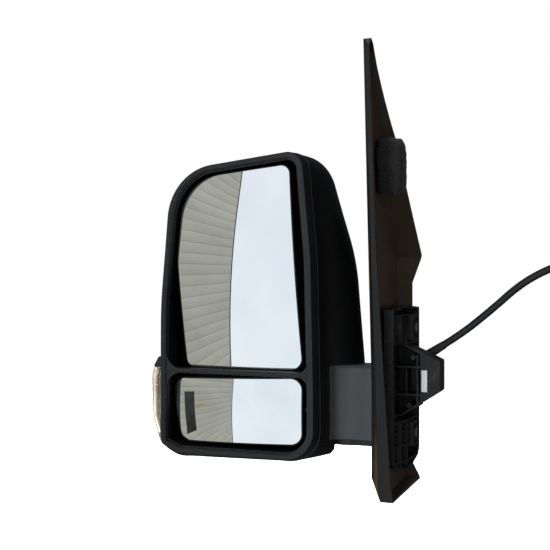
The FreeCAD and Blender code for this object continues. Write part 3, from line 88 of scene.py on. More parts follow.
CABLE_D = 0.009
COIL_R = 0.050
COIL_CENTRE = Vector((0.224, 0.012, 0.098))
COIL_PITCH = 0.0096
COIL_TURNS = 1.25
COIL_POINTS = 24
TAIL_LENGTH = 0.034
CABLE_ROUTE = [
    (-0.004, 0.012, 0.0206),
    (0.048, 0.012, 0.0525),
    (0.092, 0.012, 0.0890),
    (0.124, 0.012, 0.1185),
    (0.158, 0.012, 0.1380),
    (0.190, 0.012, 0.1470),
    (0.224, 0.012, 0.1480),
]
SLEEVE_LENGTH = 0.044
SLEEVE_STEP = 0.0005
SLEEVE_SKIN = 0.0003
SLEEVE_FLARE = 0.0016         # extra radius at the grommet, fading to nothing
SLEEVE_RIB = 0.00016
SLEEVE_RIB_PITCH = 0.0034

FOAM_FILL = 0.97              # share of the CAD block's half size that the foam starts from
FOAM_SHRINK = 0.96
FOAM_CUTS = 46
FOAM_SQUARENESS = 5.0         # higher is boxier
FOAM_SLANT = 0.30             # how far the top falls towards the front
FOAM_TAPER = 0.16             # how much narrower the foot is

OPTIC_INSET = 0.0026          # lens wall and a gap
OPTIC_BEND = 0.0045           # corner radius of the sheet
OPTIC_PITCH = 0.0016
OPTIC_TOOTH = 0.0005
OPTIC_STEP_X = 0.0008         # between points across the rear, then along the side
OPTIC_STEP_Y = 0.0012
OPTIC_FOOT = (0.33, 0.0095)   # share of the height that slopes in, and by how much
OPTIC_TOP = (0.14, 0.0022)


# ---------------------------------------------------------------- camera, floor, light
def make_camera():
    """Camera at the height of the image centre, 22 degrees round from the rear."""
    data = bpy.data.cameras.new("camera")
    data.lens = LENS
    data.sensor_width = 36.0
    camera = bpy.data.objects.new("camera", data)
    away = Vector((math.sin(YAW), -math.cos(YAW), 0.0))
    camera.location = CAMERA_AIM + away * CAMERA_DISTANCE
    camera.rotation_euler = (-away).to_track_quat("-Z", "Y").to_euler()
    bpy.context.collection.objects.link(camera)
    bpy.context.scene.camera = camera


def make_world():
    """Even pale studio: white to the eye, softer as a light."""
    world = bpy.data.worlds.new("studio")
    bpy.context.scene.world = world
    world.use_nodes = True
    tree = world.node_tree
    light = tree.nodes["Background"]
    light.inputs["Color"].default_value = (0.82, 0.88, 1.0, 1.0)
    light.inputs["Strength"].default_value = 0.09
    seen = tree.nodes.new("ShaderNodeBackground")
    seen.inputs["Color"].default_value = (1.0, 1.0, 1.0, 1.0)
    seen.inputs["Strength"].default_value = 1.0
    path = tree.nodes.new("ShaderNodeLightPath")
    mix = tree.nodes.new("ShaderNodeMixShader")
    tree.links.new(path.outputs["Is Camera Ray"], mix.inputs[0])
    tree.links.new(light.outputs[0], mix.inputs[1])
    tree.links.new(seen.outputs[0], mix.inputs[2])
    tree.links.new(mix.outputs[0], tree.nodes["World Output"].inputs["Surface"])


def make_floor():
    """Plain pale floor below the held-up part."""
    mesh = bpy.data.meshes.new("floor")
    corners = [(x, y, FLOOR_Z) for x, y in ((-1, -1), (1, -1), (1, 1), (-1, 1))]
    corners = [(x * FLOOR_REACH, y * FLOOR_REACH, z) for x, y, z in corners]
    mesh.from_pydata(corners, [], [(0, 1, 2, 3)])
    floor = bpy.data.objects.new("floor", mesh)
    bpy.context.collection.objects.link(floor)
    work = Finish("floor_pale")
    fine = work.noise(6.0, detail=3.0)
    tone = work.ramp(fine, [(0.3, (0.93, 0.93, 0.93)), (0.7, (0.96, 0.96, 0.96))])
    work.colour(tone)
    work.set(Roughness=0.9)
    work.shader.inputs["Emission Color"].default_value = (1.0, 1.0, 1.0, 1.0)
    work.shader.inputs["Emission Strength"].default_value = 1.0
    mesh.materials.append(work.material)
    floor.visible_diffuse = False
    floor.visible_glossy = False


def softbox(name, place, aim, width, height, power, tint):
    """Large area lamp facing a point."""
    data = bpy.data.lights.new(name, "AREA")
    data.shape = "RECTANGLE"
    data.size = width
    data.size_y = height
    data.energy = power
    data.color = tint
    lamp = bpy.data.objects.new(name, data)
    lamp.location = place
    lamp.rotation_euler = (Vector(aim) - Vector(place)).to_track_quat("-Z", "Y").to_euler()
    bpy.context.collection.objects.link(lamp)
    lamp.visible_camera = False
    lamp.visible_glossy = False


def reflection_card(name, corners, material):
    """Stage panel that only mirrors and gloss see."""
    mesh = bpy.data.meshes.new(name)
    mesh.from_pydata(corners, [], [(0, 1, 2, 3)])
    card = bpy.data.objects.new(name, mesh)
    bpy.context.collection.objects.link(card)
    mesh.materials.append(material)
    card.visible_camera = False
    card.visible_shadow = False
    card.visible_diffuse = False


def wall_edge(z):
    """Rear edge of the boarded wall card at a height."""
    return WALL_EDGE_Y + WALL_EDGE_SLOPE * z


def upright_card(name, x, low, high, near, far, material):
    """Card across X between two edges, each a function of the height."""
    corners = [(x, near(low), low), (x, far(low), low), (x, far(high), high), (x, near(high), high)]
    reflection_card(name, corners, material)


def sky_material():
    """Pale overcast sky."""
    work = Finish("card_sky")
    soft = work.noise(0.5, detail=3.0)
    tone = work.ramp(soft, [(0.35, (0.80, 0.86, 0.93)), (0.65, (0.88, 0.93, 0.98))])
    work.glow(tone, 0.98)
    return work.material


def wall_material():
    """Weathered boards with dark joints, stains and uneven patches."""
    work = Finish("card_wall")
    boards = work.bands("Z", BOARD_PITCH)
    joints = [(0.0, (0.12, 0.12, 0.11)), (0.05, (0.40, 0.40, 0.345)), (1.0, (0.47, 0.47, 0.415))]
    stains = work.noise(2.2, detail=5.0, stretch=(1.0, 0.35, 6.0))
    stained = work.ramp(stains, [(0.64, (0, 0, 0)), (0.78, (1, 1, 1))])
    tone = work.mix(stained, work.ramp(boards, joints), (0.40, 0.28, 0.17))
    patches = work.ramp(work.noise(1.1, detail=4.0, stretch=(1.0, 0.6, 1.6)), [(0.35, 0.82), (0.65, 1.0)])
    work.glow(work.mix(1.0, tone, patches, blend="MULTIPLY"), 0.95)
    return work.material


def edge_material():
    """Near-black edge board."""
    work = Finish("card_edge")
    worn = work.noise(3.0, detail=3.0)
    work.glow(work.ramp(worn, [(0.3, (0.02, 0.02, 0.02)), (0.7, (0.05, 0.05, 0.05))]), 1.0)
    return work.material


def make_cards():
    """A pale sky card behind the camera and a boarded wall card to one side."""
    low = CARDS_LOW_Z
    reach = SKY_REACH
    sky_corners = [(-reach, SKY_Y, low), (reach, SKY_Y, low), (reach, SKY_Y, reach), (-reach, SKY_Y, reach)]
    reflection_card("sky_card", sky_corners, sky_material())
    upright_card("wall_card", WALL_X, low, WALL_TOP_Z, wall_edge, lambda z: WALL_FRONT_Y, wall_material())
    edge = edge_material()
    upright_card("wall_edge_card", WALL_X, low, WALL_TOP_Z,
                 lambda z: wall_edge(z) - WALL_EDGE_WIDTH, wall_edge, edge)
    upright_card("doorway_card", WALL_X + 0.01, DOORWAY_Z[0], DOORWAY_Z[1],
                 lambda z: DOORWAY_Y[0], lambda z: DOORWAY_Y[1], edge)


def make_lights():
    """Soft key from behind the camera, a top light and weak fills."""
    for light in LIGHTS:
        softbox(*light)


# ---------------------------------------------------------------- material helper
class Finish:
    """A Principled material under construction, in object coordinates (metres)."""

    def __init__(self, name):
        self.material = bpy.data.materials.new(name)
        self.material.use_nodes = True
        self.tree = self.material.node_tree
        self.shader = self.tree.nodes["Principled BSDF"]
        self.coords = self.tree.nodes.new("ShaderNodeTexCoord").outputs["Object"]

    def add(self, kind, **settings):
        node = self.tree.nodes.new(kind)
        for key, value in settings.items():
            setattr(node, key, value)
        return node

    def link(self, source, target):
        self.tree.links.new(source, target)

    def stretched(self, stretch):
        if stretch is None:
            return self.coords
        mapping = self.add("ShaderNodeMapping")
        mapping.inputs["Scale"].default_value = stretch
        self.link(self.coords, mapping.inputs["Vector"])
        return mapping.outputs["Vector"]

    def noise(self, scale, detail=4.0, roughness=0.55, stretch=None, distortion=0.0):
        node = self.add("ShaderNodeTexNoise")
        node.inputs["Scale"].default_value = scale
        node.inputs["Detail"].default_value = detail
        node.inputs["Roughness"].default_value = roughness
        node.inputs["Distortion"].default_value = distortion
        self.link(self.stretched(stretch), node.inputs["Vector"])
        return node.outputs["Fac"]

    def cells(self, scale, feature="F1"):
        node = self.add("ShaderNodeTexVoronoi", feature=feature)
        node.inputs["Scale"].default_value = scale
        self.link(self.coords, node.inputs["Vector"])
        return node.outputs["Distance"]

    def bands(self, axis, pitch):
        """Sawtooth from 0 to 1 along an axis, repeating every pitch metres."""
        split = self.add("ShaderNodeSeparateXYZ")
        self.link(self.coords, split.inputs[0])
        scaled = self.add("ShaderNodeMath", operation="DIVIDE")
        scaled.inputs[1].default_value = pitch
        self.link(split.outputs[axis], scaled.inputs[0])
        saw = self.add("ShaderNodeMath", operation="FRACT")
        self.link(scaled.outputs[0], saw.inputs[0])
        return saw.outputs[0]

    def span(self, source, low, high):
        """0 to 1 as a value goes from low to high."""
        node = self.add("ShaderNodeMapRange")
        node.inputs["From Min"].default_value = low
        node.inputs["From Max"].default_value = high
        self.link(source, node.inputs["Value"])
        return node.outputs["Result"]

    def ramp(self, source, stops):
        node = self.add("ShaderNodeValToRGB")
        elements = node.color_ramp.elements
        while len(elements) < len(stops):
            elements.new(0.5)
        for element, (place, tone) in zip(elements, stops):
            element.position = place
            if isinstance(tone, (int, float)):
                tone = (tone, tone, tone)
            element.color = (tone[0], tone[1], tone[2], 1.0)
        self.link(source, node.inputs["Fac"])
        return node.outputs["Color"]

    def mix(self, factor, first, second, blend="MIX"):
        node = self.add("ShaderNodeMix", data_type="RGBA", blend_type=blend)
        sockets = [s for s in node.inputs if s.enabled]
        self.put(factor, sockets[0])
        self.put(first, sockets[1])
        self.put(second, sockets[2])
        return [s for s in node.outputs if s.enabled][0]

    def put(self, value, target):
        if hasattr(value, "links"):
            self.link(value, target)
        elif isinstance(value, (int, float)):
            target.default_value = value
        else:
            target.default_value = (value[0], value[1], value[2], 1.0)

    def math(self, operation, first, second):
        node = self.add("ShaderNodeMath", operation=operation)
        self.put(first, node.inputs[0])
        self.put(second, node.inputs[1])
        return node.outputs[0]

    def colour(self, source):
        self.link(source, self.shader.inputs["Base Color"])

    def rough(self, source, low, high):
        span = self.add("ShaderNodeMapRange")
        span.inputs["To Min"].default_value = low
        span.inputs["To Max"].default_value = high
        self.link(source, span.inputs["Value"])
        self.link(span.outputs["Result"], self.shader.inputs["Roughness"])

    def bump(self, heights):
        """Stacked bumps: (height, distance in metres, strength)."""
        normal = None
        for height, distance, strength in heights:
            node = self.add("ShaderNodeBump")
            node.inputs["Strength"].default_value = strength
            node.inputs["Distance"].default_value = distance
            self.link(height, node.inputs["Height"])
            if normal is not None:
                self.link(normal, node.inputs["Normal"])
            normal = node.outputs["Normal"]
        self.link(normal, self.shader.inputs["Normal"])

    def set(self, **values):
        for key, value in values.items():
            self.shader.inputs[key.replace("_", " ")].default_value = value

    def glow(self, source, strength):
        self.set(Roughness=1.0)
        self.shader.inputs["Base Color"].default_value = (0, 0, 0, 1)
        self.shader.inputs["Specular IOR Level"].default_value = 0.0
        self.link(source, self.shader.inputs["Emission Color"])
        self.shader.inputs["Emission Strength"].default_value = strength


# ---------------------------------------------------------------- materials
def moulded(name, dark, pale, rough_low, rough_high, grain=1500.0, grain_depth=0.00005, dust=0.25,
            gloss=0.35):
    """Moulded plastic: faint mottling, fine grain and a little dust in the hollows."""
    work = Finish(name)
    mottle = work.noise(14.0, detail=5.0)
    streak = work.noise(60.0, detail=3.0, stretch=(1.0, 1.0, 0.12))
    base = work.ramp(mottle, [(0.35, dark), (0.7, pale)])
    rubbed = work.ramp(streak, [(0.45, 0.0), (0.85, 0.35)])
    base = work.mix(rubbed, base, [c * 1.5 + 0.004 for c in pale])
    cover = work.add("ShaderNodeAmbientOcclusion", samples=4)
    cover.inputs["Distance"].default_value = 0.004
    hollow = work.ramp(cover.outputs["AO"], [(0.45, dust), (0.9, 0.0)])
    specks = work.ramp(work.noise(420.0, detail=4.0), [(0.42, 0.0), (0.62, 1.0)])
    dusty = work.math("MULTIPLY", hollow, specks)
    base = work.mix(dusty, base, (0.11, 0.10, 0.085))
    work.colour(base)
    work.rough(work.noise(90.0, detail=4.0), rough_low, rough_high)
    fine = work.noise(grain, detail=2.0, roughness=0.6)
    wave = work.noise(120.0, detail=2.0)
    work.bump([(wave, 0.0004, 0.10), (fine, grain_depth, 0.55)])
    work.set(Specular_IOR_Level=gloss)
    return work


def black_grain():
    """Grained black plastic of the covers."""
    work = moulded("black_grain", (0.0050, 0.0050, 0.0055), (0.0090, 0.0090, 0.0096), 0.42, 0.56)
    return work.material


def arm_painted_sheen():
    """Satin arm cover, greyer and lighter than the head: painted sheen of the sky on its rear face."""
    work = moulded("arm_painted_sheen", (0.046, 0.050, 0.054), (0.062, 0.067, 0.072), 0.34, 0.46, gloss=0.5)
    return work.material


def sail_plastic():
    """Sail: black outside; inside its walls a lighter brown-black, painted light from the right."""
    work = moulded("sail_plastic", (0.0060, 0.0060, 0.0062), (0.0105, 0.0103, 0.0105), 0.44, 0.58)
    shade = work.shader.inputs["Base Color"].links[0].from_socket
    axes = work.add("ShaderNodeSeparateXYZ")
    work.link(work.coords, axes.inputs[0])
    x, y, z = axes.outputs
    lean = work.math("MULTIPLY", work.math("MAXIMUM", z, 0.0), SAIL_LEAN)
    depth = work.math("ADD", x, lean)
    begin = SAIL_SKIN
    full = SAIL_SKIN + SAIL_FADE
    bevel = work.math("ADD", depth, work.math("MULTIPLY", y, SAIL_BEVEL_SLOPE))
    slant = work.math("ADD", y, work.math("MULTIPLY", z, SAIL_SLANT_SLOPE))
    past_rear = work.span(y, begin - SAIL_REAR, full - SAIL_REAR)
    past_bevel = work.span(bevel, *SAIL_BEVEL_BAND)
    before_slant = work.span(slant, *SAIL_SLANT_BAND)
    before_front = work.span(y, SAIL_FRONT - begin, SAIL_FRONT - full)
    above_foot = work.span(z, begin - SAIL_FOOT, full - SAIL_FOOT)
    inside = work.span(depth, begin - SAIL_OUTER, full - SAIL_OUTER)
    for side in (past_rear, past_bevel, before_slant, before_front, above_foot):
        inside = work.math("MULTIPLY", inside, side)
    # Lighter brown-black inside the walls than outside: painted light from the right on the same moulding.
    cloud = work.noise(22.0, detail=4.0)
    lit_inside_tone = work.ramp(cloud, [(0.3, (0.058, 0.040, 0.026)), (0.7, (0.085, 0.061, 0.041))])
    work.colour(work.mix(inside, shade, lit_inside_tone))
    return work.material


def rim_black():
    """Smoother satin black of the bezel."""
    work = moulded("rim_black", (0.0075, 0.0082, 0.0095), (0.0120, 0.0130, 0.0150), 0.30, 0.42,
                   grain=1900.0, grain_depth=0.00003, gloss=0.42)
    return work.material


def bracket_black():
    """Glass-filled plastic with flow marks and dust."""
    work = moulded("bracket_black", (0.0060, 0.0060, 0.0064), (0.0130, 0.0130, 0.0136), 0.40, 0.60,
                   grain=900.0, grain_depth=0.00008, dust=0.5)
    shade = work.shader.inputs["Base Color"].links[0].from_socket
    flow = work.noise(26.0, detail=6.0, distortion=1.6)
    tan = work.ramp(flow, [(0.54, 0.0), (0.70, 0.8)])
    work.colour(work.mix(tan, shade, (0.050, 0.038, 0.027)))
    return work.material


def inner_black():
    """Matt black of the parts behind the glasses."""
    work = moulded("inner_black", (0.0050, 0.0050, 0.0055), (0.0090, 0.0090, 0.0098), 0.55, 0.7, dust=0.3)
    return work.material


def coated_casting():
    """Black coated die casting of the pivot foot."""
    work = moulded("coated_casting", (0.010, 0.010, 0.011), (0.018, 0.018, 0.019), 0.38, 0.5)
    return work.material


def mirror_glass():
    """Silvered glass with a trace of haze and wipe marks."""
    work = Finish("mirror_glass")
    haze = work.noise(9.0, detail=6.0, roughness=0.6)
    tone = work.ramp(haze, [(0.3, (0.88, 0.905, 0.92)), (0.7, (0.93, 0.945, 0.955))])
    work.colour(tone)
    wipe = work.noise(16.0, detail=5.0, stretch=(1.0, 1.0, 0.25))
    work.rough(work.ramp(wipe, [(0.55, 0.0), (0.8, 1.0)]), 0.0, 0.035)
    work.set(Metallic=1.0)
    return work.material


def clear_lens():
    """Clear warm lens plastic."""
    work = Finish("lens_clear")
    cloud = work.noise(60.0, detail=3.0)
    work.colour(work.ramp(cloud, [(0.3, (0.95, 0.86, 0.76)), (0.7, (0.98, 0.91, 0.83))]))
    work.rough(work.noise(240.0, detail=3.0), 0.03, 0.09)
    work.set(Transmission_Weight=0.92, IOR=1.49)
    return work.material


def prism_optic():
    """Ribbed optic seen through the lens: warm beige with sparkle, and painted shade and highlight across
    each prism column and tooth.
    """
    work = Finish("prism_optic")
    cloud = work.noise(90.0, detail=4.0)
    tone = work.ramp(cloud, [(0.3, (0.52, 0.37, 0.26)), (0.7, (0.78, 0.60, 0.45))])
    # Bands darker at the edges of each prism column and tooth: painted shade and highlight of the facets.
    columns = work.ramp(work.bands("X", 0.0026), [(0.0, 0.30), (0.22, 1.0), (0.80, 0.85), (1.0, 0.35)])
    tooth_shade = work.ramp(work.bands("Z", 0.0032), [(0.0, 0.45), (0.35, 1.0), (1.0, 0.75)])
    column_shaded = work.mix(1.0, tone, columns, blend="MULTIPLY")
    work.colour(work.mix(1.0, column_shaded, tooth_shade, blend="MULTIPLY"))
    work.rough(work.noise(300.0, detail=3.0), 0.12, 0.30)
    work.set(Metallic=0.35, Coat_Weight=0.6, Coat_Roughness=0.08)
    return work.material


def metallised():
    """Vacuum-metallised reflector."""
    work = Finish("metallised")
    cloud = work.noise(40.0, detail=4.0)
    work.colour(work.ramp(cloud, [(0.3, (0.74, 0.70, 0.66)), (0.7, (0.88, 0.85, 0.82))]))
    work.rough(work.noise(500.0, detail=2.0), 0.08, 0.2)
    work.set(Metallic=1.0)
    return work.material


def metal(name, dark, pale, rough_low, rough_high, brushed=None):
    """Metal with tarnish clouds and machining marks."""
    work = Finish(name)
    cloud = work.noise(70.0, detail=6.0)
    work.colour(work.ramp(cloud, [(0.3, dark), (0.7, pale)]))
    marks = work.noise(700.0, detail=3.0, stretch=brushed)
    work.rough(marks, rough_low, rough_high)
    work.bump([(marks, 0.00004, 0.5)])
    work.set(Metallic=1.0)
    return work.material


def bearing_plastic():
    """Natural bearing and gear plastic."""
    work = Finish("bearing_plastic")
    cloud = work.noise(150.0, detail=4.0)
    work.colour(work.ramp(cloud, [(0.3, (0.62, 0.60, 0.55)), (0.7, (0.74, 0.72, 0.67))]))
    work.rough(work.noise(600.0), 0.35, 0.5)
    work.set(Subsurface_Weight=0.1)
    return work.material


def circuit_board():
    """Board with copper tracks under green lacquer."""
    work = Finish("circuit_board")
    tracks = work.cells(260.0, feature="DISTANCE_TO_EDGE")
    line = work.ramp(tracks, [(0.05, (0.10, 0.26, 0.12)), (0.14, (0.02, 0.10, 0.05))])
    work.colour(line)
    work.rough(work.noise(300.0), 0.25, 0.4)
    return work.material


def heater_film():
    """Printed heater foil with meander tracks."""
    work = Finish("heater_film")
    bands = work.bands("Z", 0.004)
    work.colour(work.ramp(bands, [(0.35, (0.42, 0.22, 0.10)), (0.45, (0.16, 0.09, 0.05))]))
    work.rough(work.noise(200.0), 0.3, 0.5)
    return work.material


def foam_pad():
    """White foam tape, with painted shade in its pores."""
    work = Finish("foam_pad")
    pores = work.cells(900.0)
    # Greyer at each pore's centre: painted shade in the pores.
    work.colour(work.ramp(pores, [(0.1, (0.42, 0.42, 0.40)), (0.5, (0.68, 0.68, 0.66))]))
    work.bump([(pores, 0.0003, 0.8)])
    work.set(Roughness=0.9)
    return work.material


def open_foam():
    """Charcoal open-cell foam, with painted shade in its pores."""
    work = Finish("open_foam")
    pores = work.cells(520.0)
    coarse = work.noise(90.0, detail=6.0, roughness=0.7)
    # Darker at each pore's centre: painted shade in the pores.
    tone = work.ramp(pores, [(0.05, (0.0020, 0.0020, 0.0020)), (0.55, (0.0095, 0.0092, 0.0090))])
    faded = work.ramp(coarse, [(0.45, 0.0), (0.75, 0.6)])
    work.colour(work.mix(faded, tone, (0.0160, 0.0150, 0.0145)))
    work.rough(coarse, 0.85, 1.0)
    work.bump([(coarse, 0.0012, 0.6), (pores, 0.0009, 0.9)])
    work.set(Sheen_Weight=0.15, Sheen_Roughness=0.6)
    return work.material


def cable_sheath():
    """Satin sheath with fine draw lines and scuffs."""
    work = Finish("cable_sheath")
    cloud = work.noise(40.0, detail=5.0)
    tone = work.ramp(cloud, [(0.3, (0.0080, 0.0082, 0.0088)), (0.7, (0.0150, 0.0152, 0.0160))])
    scuff = work.ramp(work.noise(350.0, detail=5.0), [(0.6, 0.0), (0.75, 0.5)])
    work.colour(work.mix(scuff, tone, (0.036, 0.036, 0.038)))
    work.rough(work.noise(160.0, detail=4.0), 0.34, 0.52)
    work.bump([(work.noise(520.0, detail=3.0), 0.00025, 0.6)])
    work.set(Specular_IOR_Level=0.35)
    return work.material


def soft_rubber():
    """Matt soft rubber."""
    work = Finish("soft_rubber")
    cloud = work.noise(120.0, detail=4.0)
    work.colour(work.ramp(cloud, [(0.3, (0.012, 0.012, 0.012)), (0.7, (0.022, 0.022, 0.023))]))
    work.rough(work.noise(400.0), 0.6, 0.8)
    work.bump([(work.noise(1200.0), 0.00006, 0.5)])
    return work.material


def label_paper():
    """Blank label with faint fibres."""
    work = Finish("label_paper")
    fibre = work.noise(900.0, detail=4.0, stretch=(1.0, 1.0, 0.3))
    work.colour(work.ramp(fibre, [(0.3, (0.78, 0.79, 0.80)), (0.7, (0.90, 0.90, 0.90))]))
    work.rough(fibre, 0.4, 0.6)
    work.bump([(fibre, 0.00004, 0.5)])
    return work.material


def connector_plastic():
    """Dark grey connector moulding."""
    work = moulded("connector_plastic", (0.030, 0.031, 0.034), (0.052, 0.053, 0.057), 0.36, 0.5, dust=0.3)
    return work.material


def dress(nodes, material):
    """Give CAD nodes a material through their slots."""
    for node in nodes:
        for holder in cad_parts[node].material_slots:
            holder.material = material


def dress_frame():
    """Materials of every CAD node that stays visible."""
    dress(["rear_cover", "lower_cover"], black_grain())
    dress(["arm_cover"], arm_painted_sheen())
    dress(["sail_cover"], sail_plastic())
    dress(["bezel_frame", "lamp_housing"], rim_black())
    dress(["base_bracket"], bracket_black())
    dress(["head_frame", "actuator_front", "actuator_rear", "lower_mount", "main_glass_holder",
           "lower_glass_holder", "main_gimbal_ring", "lower_gimbal_ring"], inner_black())
    dress(["main_glass", "lower_glass"], mirror_glass())
    dress(["main_heater_pad"], heater_film())
    dress(["lower_glass_pad"], foam_pad())
    dress(["pivot_foot"], coated_casting())
    dress(["pivot_spindle", "spring_washer", "pivot_nut", "detent_balls", "foot_screws", "bolt_inserts",
           "bezel_screws"], metal("zinc_steel", (0.46, 0.46, 0.47), (0.62, 0.61, 0.58), 0.22, 0.4))
    dress(["fold_spring"], metal("spring_steel", (0.20, 0.20, 0.21), (0.33, 0.33, 0.34), 0.25, 0.4))
    dress(["pan_motor", "tilt_motor"], metal("motor_can", (0.52, 0.52, 0.52), (0.66, 0.66, 0.65), 0.2, 0.35,
                                             brushed=(1.0, 1.0, 0.05)))
    dress(["pivot_bush", "pan_screw", "tilt_screw", "pan_gear", "tilt_gear"], bearing_plastic())
    dress(["lamp_lens"], clear_lens())
    dress(["lamp_board"], circuit_board())
    dress(["lamp_reflector"], metallised())
    dress(["nose_label"], label_paper())
    dress(["cable_grommet"], soft_rubber())
    dress(["head_harness"], cable_sheath())
    dress(["cable_tie"], inner_black())
    dress(["connector", "connector_latch"], connector_plastic())


# ---------------------------------------------------------------- mesh helpers
def add_mesh(name, verts, faces, material, body, smooth=True):
    """New mesh piece that rides on a body."""
    mesh = bpy.data.meshes.new(name)
    mesh.from_pydata([tuple(v) for v in verts], [], faces)
    mesh.materials.append(material)
    if smooth:
        mesh.shade_smooth()
    piece = bpy.data.objects.new(name, mesh)
    bpy.context.collection.objects.link(piece)
    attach(piece, body)
    return piece


def ring_faces(rings, sides):
    """Quads between successive rings of points."""
    faces = []
    for i in range(rings - 1):
        for j in range(sides):
            k = (j + 1) % sides
            faces.append((i * sides + j, i * sides + k, (i + 1) * sides + k, (i + 1) * sides + j))
    return faces


def sweep(path, radii, sides=32):
    """Closed tube along a path with a radius at each point."""
    verts = []
    up = Vector((0, 1, 0))
    for i, point in enumerate(path):
        ahead = path[min(i + 1, len(path) - 1)] - path[max(i - 1, 0)]
        ahead.normalize()
        side = up.cross(ahead).normalized()
        over = ahead.cross(side).normalized()
        for j in range(sides):
            a = 2 * math.pi * j / sides
            verts.append(point + (side * math.cos(a) + over * math.sin(a)) * radii[i])
    faces = ring_faces(len(path), sides)
    faces.append(tuple(range(sides)))
    faces.append(tuple(reversed(range((len(path) - 1) * sides, len(path) * sides))))
    return verts, faces


# ---------------------------------------------------------------- cable
def cable_points():
    """The listed route, then the coil's turns and the tail."""
    points = [Vector(p) for p in CABLE_ROUTE]
    steps = int(COIL_POINTS * COIL_TURNS)
    for i in range(1, steps + 1):
        angle = 2 * math.pi * i / COIL_POINTS
        drift = COIL_PITCH * i / COIL_POINTS
        points.append(COIL_CENTRE + Vector((COIL_R * math.sin(angle), drift, COIL_R * math.cos(angle))))
    last = points[-1]
    points.append(last - Vector((0, 0, TAIL_LENGTH * 0.5)))
    points.append(last - Vector((0, 0, TAIL_LENGTH)))
    return points


def make_cable():
    """One smooth spline from the grommet to the plug, with its sleeve."""
    curve = bpy.data.curves.new("cable_line", "CURVE")
    curve.dimensions = "3D"
    spline = curve.splines.new("NURBS")
    points = cable_points()
    spline.points.add(len(points) - 1)
    for spot, point in zip(spline.points, points):
        spot.co = (*point, 1.0)
    spline.order_u = 3
    spline.use_endpoint_u = True
    spline.resolution_u = 12
    line = bpy.data.objects.new("cable_line", curve)
    bpy.context.collection.objects.link(line)
    lit_inside_tone = bpy.data.meshes.new_from_object(line)
    path = [v.co.copy() for v in lit_inside_tone.vertices]
    curve.bevel_depth = CABLE_D / 2
    curve.bevel_resolution = 6
    curve.use_fill_caps = True
    curve.materials.append(cable_sheath())
    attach(line, "base")
    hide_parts("cable", "cable_coil", "cable_tail")
    sleeve = make_sleeve(path)


def make_sleeve(path):
    """Ribbed, slightly tapered sleeve over the cable's first stretch."""
    spots = []
    radii = []
    run = 0.0
    for i in range(1, len(path)):
        step = path[i] - path[i - 1]
        pieces = max(1, int(step.length / SLEEVE_STEP))
        for k in range(pieces):
            here = run + step.length * k / pieces
            if here > SLEEVE_LENGTH:
                break
            spots.append(path[i - 1] + step * (k / pieces))
            fade = here / SLEEVE_LENGTH
            rib = SLEEVE_RIB * math.sin(2 * math.pi * here / SLEEVE_RIB_PITCH)
            flare = SLEEVE_FLARE * (1 - fade) ** 0.7
            radii.append(CABLE_D / 2 + flare + SLEEVE_SKIN + rib * (1 - fade * 0.6))
        run += step.length
        if run > SLEEVE_LENGTH:
            break
    radii[-1] = CABLE_D / 2 + 0.00005
    verts, faces = sweep(spots, radii)
    return add_mesh("cable_sleeve", verts, faces, soft_rubber(), "base")


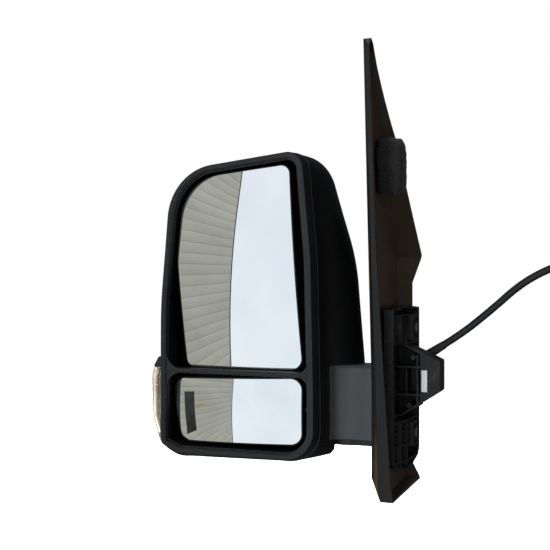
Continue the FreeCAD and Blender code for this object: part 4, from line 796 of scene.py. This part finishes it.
# ---------------------------------------------------------------- foam
def make_foam():
    """Torn-edged foam block, lumpy and pitted, inside the CAD block's space."""
    low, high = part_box("foam_block")
    centre = (Vector(low) + Vector(high)) / 2
    half = (Vector(high) - Vector(low)) / 2 * FOAM_FILL
    work = bmesh.new()
    bmesh.ops.create_cube(work, size=2.0)
    bmesh.ops.subdivide_edges(work, edges=work.edges[:], cuts=FOAM_CUTS, use_grid_fill=True)
    for v in work.verts:
        powers = [abs(c) ** FOAM_SQUARENESS for c in v.co]
        p = v.co / sum(powers) ** (1 / FOAM_SQUARENESS)
        p.z -= FOAM_SLANT * max(0.0, p.z) * (p.y if p.y > 0 else 0.25 * -p.y)
        p.y *= 1.0 - FOAM_TAPER * max(0.0, -p.z)
        place = Vector((p.x * half.x, p.y * half.y, p.z * half.z))
        lump = noise.noise(place * 55.0) * 0.0016 + noise.noise(place * 150.0) * 0.0009
        pit = max(0.0, noise.noise(place * 420.0 + Vector((3, 1, 7))) - 0.12) * 0.0026
        v.co = centre + place * FOAM_SHRINK + place.normalized() * (lump - pit)
    mesh = bpy.data.meshes.new("foam")
    work.to_mesh(mesh)
    work.free()
    mesh.shade_smooth()
    mesh.materials.append(open_foam())
    foam = bpy.data.objects.new("foam", mesh)
    bpy.context.collection.objects.link(foam)
    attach(foam, "base")
    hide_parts("foam_block")


# ---------------------------------------------------------------- lamp optic
def optic_shrink(share):
    """How far the sheet draws in towards the lens's sloping foot and its top."""
    foot, foot_draw = OPTIC_FOOT
    top, top_draw = OPTIC_TOP
    if share < foot:
        return (foot - share) / foot * foot_draw
    if share > 1 - top:
        return (share - 1 + top) / top * top_draw
    return 0.0


def optic_line(x_out, x_in, y0, y1):
    """Plan of the sheet: across the rear, round the corner, then forward."""
    line = []
    x = x_in
    while x > x_out + OPTIC_BEND:
        line.append((x, y0))
        x -= OPTIC_STEP_X
    for k in range(7):
        a = math.pi / 2 * k / 6
        line.append((x_out + OPTIC_BEND * (1 - math.sin(a)), y0 + OPTIC_BEND * (1 - math.cos(a))))
    y = y0 + OPTIC_BEND
    while y < y1:
        line.append((x_out, y))
        y += OPTIC_STEP_Y
    return line


def make_optic():
    """Sheet of fine upright prisms just inside the lens."""
    low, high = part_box("lamp_lens")
    z0 = low[2] + 0.004
    z1 = high[2] - 0.004
    rows = int((z1 - z0) / OPTIC_PITCH)
    heights = [z0 + (z1 - z0) * r / rows for r in range(rows + 1)]
    lines = []
    for z in heights:
        x_out = low[0] + OPTIC_INSET + optic_shrink((z - z0) / (z1 - z0))
        lines.append(optic_line(x_out, high[0] - 0.001, low[1] + OPTIC_INSET, high[1] - OPTIC_INSET))
    columns = min(len(line) for line in lines)
    verts = []
    for r, (z, line) in enumerate(zip(heights, lines)):
        tooth = OPTIC_TOOTH if r % 2 else 0.0
        verts.extend((x + tooth, y + tooth, z) for x, y in line[-columns:])
    faces = []
    for r in range(rows):
        for c in range(columns - 1):
            a = r * columns + c
            faces.append((a, a + 1, a + columns + 1, a + columns))
    add_mesh("lamp_optic", verts, faces, prism_optic(), "head", smooth=False)


# ---------------------------------------------------------------- build
make_camera()
bpy.context.scene.view_settings.view_transform = "Standard"
make_world()
make_floor()
make_cards()
make_lights()
dress_frame()
make_cable()
make_foam()
make_optic()
